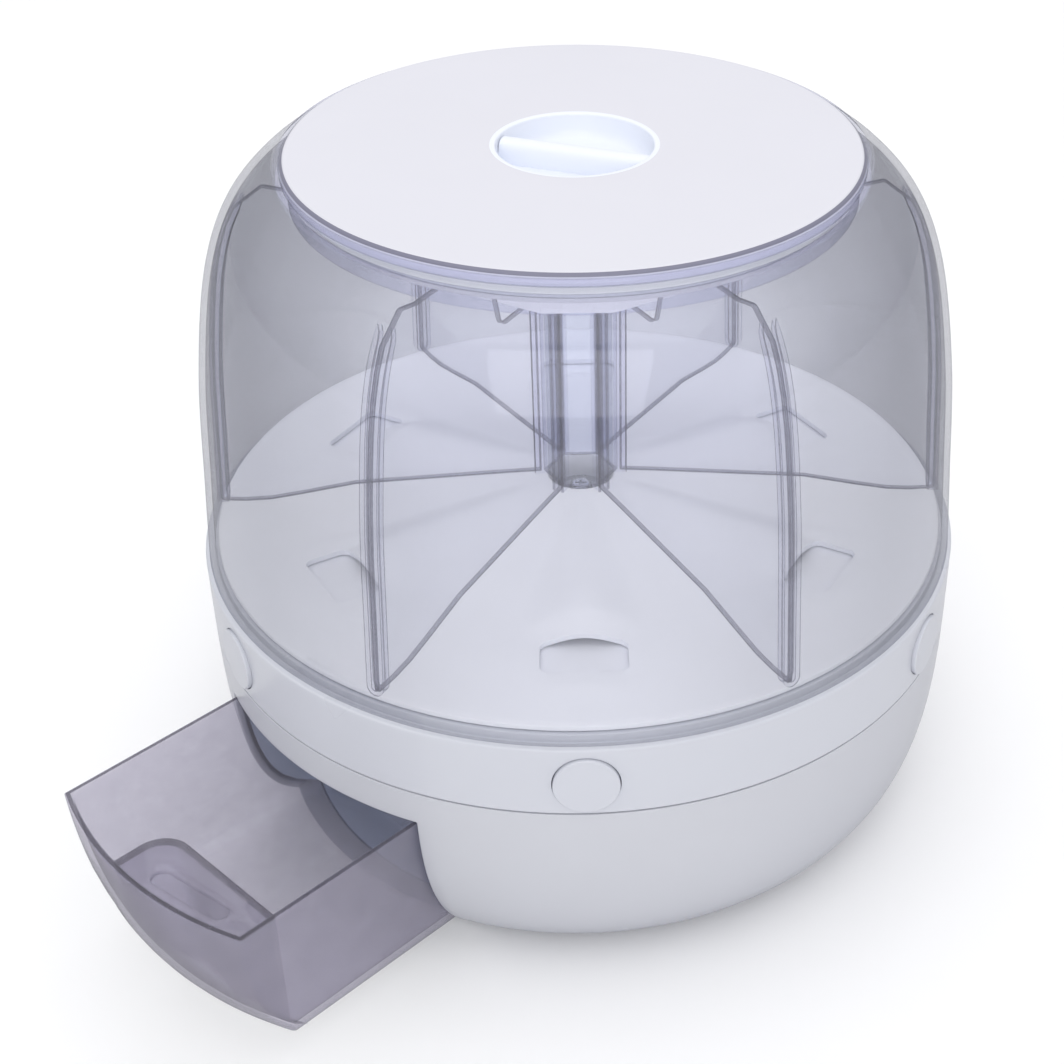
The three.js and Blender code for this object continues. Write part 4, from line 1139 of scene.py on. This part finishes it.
# =====================================================================================
# drawer
# =====================================================================================
def build_drawer():
    H, Z0, ZT, REAR, WALL, RB = 53.0, 7.4, 71.0, 25.0, 2.2, 9.0
    OUT = DRAWER_OUT

    def sec(w, z0, r, zt, nz=16, nx=30, na=8):
        pts = [(-w, z) for z in np.linspace(zt, z0 + r, nz)[:-1]]
        for k in range(na):
            a = math.pi + math.pi / 2 * k / na
            pts.append((-w + r + r * math.cos(a), z0 + r + r * math.sin(a)))
        pts += [(x, z0) for x in np.linspace(-w + r, w - r, nx)[:-1]]
        for k in range(na):
            a = 1.5 * math.pi + math.pi / 2 * k / na
            pts.append((w - r + r * math.cos(a), z0 + r + r * math.sin(a)))
        pts += [(w, z) for z in np.linspace(z0 + r, zt, nz)]
        return np.array(pts), nz, nx, na

    def front_out(x, z, off):
        if off > 0:
            q = FI
            r = float(np.interp(z, q[:, 1], q[:, 0]))
        else:
            r = float(bowl_r(z))
        return math.sqrt(r * r - x * x)
    FI = np.array([bowl_in(k, 2.4) for k in np.linspace(4.0, 80.0, 120)])
    mb = MB()

    def tub(w, z0, r, rear, off, mat=0):
        s, nz, nx, na = sec(w, z0, r, ZT)
        t = np.linspace(0, 1, 22)
        side = np.array([[(x, -(rear + (front_out(x, z, off) - rear) * u), z) for u in t] for x, z in s])
        mb.grid(side, mat=mat)
        # front face: left column, bottom row and right column are the section itself
        nl = nz - 1 + na // 2                       # points down the left side, to half of the corner arc
        left = s[:nl + 1]
        right = s[::-1][:nl + 1]
        bottom = s[nl:len(s) - nl]
        NX, NZ = len(bottom), len(left)
        F = np.zeros((NX, NZ, 2))
        xt = np.linspace(left[0][0], right[0][0], NX)
        for i in range(NX):
            for j in range(NZ):
                u, v = i / (NX - 1), j / (NZ - 1)
                topp = np.array([xt[i], ZT])
                bot = bottom[i]
                l, rr_ = left[j], right[j]
                # transfinite interpolation between the four borders
                F[i, j] = (1 - v) * topp + v * bot + (1 - u) * l + u * rr_ - ((1 - u) * (1 - v) * left[0] + u * (1 - v) * right[0] + (1 - u) * v * bottom[0] + u * v * bottom[-1])
        front = np.array([[(x, -front_out(x, z, off), z) for x, z in col] for col in F])
        rearf = np.array([[(x, -rear, z) for x, z in col] for col in F])
        mb.grid(front, mat=mat)
        mb.grid(rearf, mat=mat)
        return side, front, rearf
    so, fo, ro = tub(H, Z0, RB, REAR, 0)
    si, fi, ri = tub(H - WALL, Z0 + WALL, RB - 1.5, REAR + WALL, WALL)
    # rim: left, right, front, rear, in the darker smoke material as a painted shade line
    mb.grid(np.array([so[0], si[0]]), mat=1)
    mb.grid(np.array([so[-1], si[-1]]), mat=1)
    mb.grid(np.array([fo[:, 0], fi[:, 0]]), mat=1)
    mb.grid(np.array([ro[:, 0], ri[:, 0]]), mat=1)

    def outer_edges(e):
        a, b = [v.co / MM for v in e.verts]
        return True
    ob = make("drawer_tub", mb, [M_SMOKE, M_SMOKE_EDGE_PAINTED_SHADE], None, weld=0.01, bev=(0.75, 3, 38, None))

    # grip dimple on the front face, a shallow oval
    me = ob.data
    for v in me.vertices:
        x, y, z = v.co / MM
        o = -y
        if o > front_out(min(abs(x), 60), z, 0) - 1.2:
            d = ((x + 27.0) / 12.0) ** 2 + ((z - 40.0) / 9.5) ** 2
            if d < 1.0:
                v.co.y += 0.9 * MM * (1 - d) ** 0.6 * min(1.0, (1 - d) * 3)
    shade(ob, 30)
    # finger well: two upright walls and a slotted top, moulded in one with the tub
    zc0 = Z0 + WALL
    mb = MB()
    fw = lambda x, z: front_out(x, z, 1) + 0.25

    def wall_strip(path, z0, z1, thick, mat=0, nz=14):
        """upright wall along a path of (x, out) points"""
        p = np.array(path)
        tan = np.gradient(p, axis=0)
        tan /= np.linalg.norm(tan, axis=1, keepdims=True)
        nn = np.stack([-tan[:, 1], tan[:, 0]], 1)
        zs = np.linspace(z0, z1, nz)
        A = p + nn * thick / 2
        B = p - nn * thick / 2

        def clip(x, o, z):
            return (x, -min(o, front_out(min(abs(x), 52), z, 1) + 0.1), z)
        ga = np.array([[clip(x, o, z) for z in zs] for x, o in A])
        gb = np.array([[clip(x, o, z) for z in zs] for x, o in B])
        mb.grid(ga, mat=mat)
        mb.grid(gb, mat=mat)
        # the wall's top carries the darker smoke material, a painted shade line
        mb.grid(np.array([ga[:, -1], gb[:, -1]]), mat=1)
    rl = 11.0
    path = [(-10, 150.0), (-10, 146), (-10, 142), (-10, 138), (-10, 124.5 + rl)]
    for k in range(1, 10):
        a = math.pi / 2 * k / 9
        path.append((-10 + rl - rl * math.cos(a), 124.5 + rl - rl * math.sin(a)))
    path += [(x, 124.5) for x in np.linspace(1, 50.9, 14)[1:]]
    wall_strip(path, zc0 + 0.02, 68.3, 2.0)
    # top plate with a slot
    P0 = np.array(path)
    well = MB()
    inner = [(x, o) for x, o in path]
    front_edge = [(x, front_out(x, 69.0, 1) + 0.1) for x in np.linspace(50.9, -10, 24)]
    loop = [(x, -o) for x, o in ([(-10.9, 128 + 8)] if False else [])]
    outer_path = []
    tan = np.gradient(P0, axis=0)
    tan /= np.linalg.norm(tan, axis=1, keepdims=True)
    nn = np.stack([-tan[:, 1], tan[:, 0]], 1)
    side_a, side_b = P0 + nn, P0 - nn
    outside = side_a if side_a[len(path) // 2][1] < side_b[len(path) // 2][1] else side_b
    outside = [(x, o) for x, o in outside if o < front_out(min(abs(x), 52), 69.0, 1)]
    fe = [(x, front_out(min(abs(x), 52), 69.0, 1) + 0.1) for x in np.linspace(50.9, outside[0][0], 26)]
    loop = [(x, -o) for x, o in outside] + [(x, -o) for x, o in fe]
    area = sum(loop[k][0] * loop[(k + 1) % len(loop)][1] - loop[(k + 1) % len(loop)][0] * loop[k][1] for k in range(len(loop)))
    if area < 0:
        loop = loop[::-1]
    pillow(well, loop, 68.2, 70.0, 0.35, 0.2, 3)
    # the sides of the well's top plate carry the darker smoke material, a painted shade line
    for k, q in enumerate(well.f):
        if len(q) == 4:
            well.m[k] = 1
    top = make("drawer_well_top", well, [M_SMOKE, M_SMOKE_EDGE_PAINTED_SHADE], None, weld=0.002)
    # slot, a rounded bar outline
    cb = MB()
    a, b, r = np.array((8.0, -139.5)), np.array((36.0, -135.5)), 3.6
    d = (b - a) / np.linalg.norm(b - a)
    ang = math.atan2(d[1], d[0])
    sl = [tuple(b + r * np.array((math.cos(ang - math.pi / 2 + math.pi * k / 12), math.sin(ang - math.pi / 2 + math.pi * k / 12)))) for k in range(13)]
    sl += [tuple(a + r * np.array((math.cos(ang + math.pi / 2 + math.pi * k / 12), math.sin(ang + math.pi / 2 + math.pi * k / 12)))) for k in range(13)]
    pillow(cb, sl, 66, 72, 0.01, 0.01, 1)
    boolean(top, [make("cut", cb, [M_SMOKE], None)])
    bevel_mod(top, 0.3, 2, 50, 30)
    wallob = make("drawer_finger_well", mb, [M_SMOKE, M_SMOKE_EDGE_PAINTED_SHADE], None, weld=0.01, angle=30)
    for o in (ob, wallob, top):
        o.data.transform(Matrix.Translation((0, -OUT * MM, 0)))
        o.data.transform(Matrix.Rotation(DRAWER_AZ * DEG, 4, "Z"))
        if o is ob:
            done(o, "drawer", ["drawer_tray"])
        else:
            done(o, "drawer")


build_ring()
build_dome()
build_floor()
build_hub()
build_dividers()
build_buttons()
build_lid()
build_bowl()
build_underside()
build_deck()
build_bay()
build_spindle()
build_drawer()

# =====================================================================================
# stage, light and camera
# =====================================================================================
m, nt, out = new_mat("stage_white")
co = nt.nodes.new("ShaderNodeTexCoord").outputs["Object"]
b = nt.nodes.new("ShaderNodeBsdfDiffuse")
n1 = noise(nt, co, 3.0, 2.0, 0.5)
nt.links.new(mix_rgb(nt, n1.outputs["Fac"], (0.955, 0.955, 0.957), (0.965, 0.965, 0.965)), b.inputs["Color"])
nt.links.new(b.outputs[0], out.inputs["Surface"])
mb = MB()
g = np.linspace(-6000, 6000, 9)
mb.grid(np.array([[(x, y, 0.0) for y in g] for x in g]))
floor = make("studio_floor", mb, [m], None, fix_normals=False)

world = bpy.data.worlds.new("studio")
scene.world = world
world.use_nodes = True
wn = world.node_tree
for n in list(wn.nodes):
    wn.nodes.remove(n)
wo = wn.nodes.new("ShaderNodeOutputWorld")
bg = wn.nodes.new("ShaderNodeBackground")
tc = wn.nodes.new("ShaderNodeTexCoord")
sx = wn.nodes.new("ShaderNodeSeparateXYZ")
wn.links.new(tc.outputs["Generated"], sx.inputs[0])
mr = wn.nodes.new("ShaderNodeMapRange")
mr.inputs["From Min"].default_value = 0.0
mr.inputs["From Max"].default_value = 1.0
mr.inputs["To Min"].default_value = 0.0
mr.inputs["To Max"].default_value = 1.0
wn.links.new(sx.outputs["Z"], mr.inputs["Value"])
mx = wn.nodes.new("ShaderNodeMix")
mx.data_type = "RGBA"
mx.inputs["A"].default_value = (0.50, 0.50, 0.52, 1.0)
mx.inputs["B"].default_value = (0.95, 0.95, 0.965, 1.0)
wn.links.new(mr.outputs["Result"], mx.inputs["Factor"])
wn.links.new(mx.outputs["Result"], bg.inputs["Color"])
bg.inputs["Strength"].default_value = 1.0
wn.links.new(bg.outputs[0], wo.inputs["Surface"])


def area(name, loc, target, size, power_w, col=(1, 1, 1), size_y=None):
    l = bpy.data.lights.new(name, "AREA")
    l.energy = power_w
    l.color = col
    l.shape = "RECTANGLE" if size_y else "SQUARE"
    l.size = size
    if size_y:
        l.size_y = size_y
    o = bpy.data.objects.new(name, l)
    scene.collection.objects.link(o)
    o.location = loc
    d = Vector(target) - Vector(loc)
    o.rotation_euler = d.to_track_quat("-Z", "Y").to_euler()
    return o


area("top_soft", (0.0, -0.1, 2.3), (0, 0, 0.1), 2.6, 13.6)
area("front_soft", (-0.1, -2.0, 1.3), (0, 0, 0.15), 1.8, 13.0)
area("back_soft", (0.0, 2.2, 1.5), (0, 0, 0.15), 2.2, 6.0)

cam = bpy.data.cameras.new("camera")
cam.lens = 1831.5082 / 1064.0 * 36.0
cam.sensor_width = 36.0
cam.sensor_fit = "HORIZONTAL"
cam.shift_x = -0.12811
cam.shift_y = -0.00112
cam.clip_start = 0.01
cam.clip_end = 50.0
co_ = bpy.data.objects.new("camera", cam)
scene.collection.objects.link(co_)
fwd = Vector((0.0471431, 0.8254593, -0.5624895))
rgt = Vector((0.9987225, -0.0492071, 0.0114924))
upv = Vector((0.0181919, 0.5623127, 0.8267245))
R = Matrix((rgt, upv, -fwd)).transposed()
co_.matrix_world = Matrix.Translation((0.0, -0.6222389, 0.5290098)) @ R.to_4x4()
scene.camera = co_

scene.view_settings.view_transform = "Standard"
scene.view_settings.look = "None"
scene.view_settings.exposure = 0.0
scene.view_settings.gamma = 1.0
scene.cycles.max_bounces = 14
scene.cycles.diffuse_bounces = 5
scene.cycles.glossy_bounces = 6
scene.cycles.transmission_bounces = 8
scene.cycles.transparent_max_bounces = 72
scene.cycles.caustics_reflective = False
scene.cycles.caustics_refractive = False
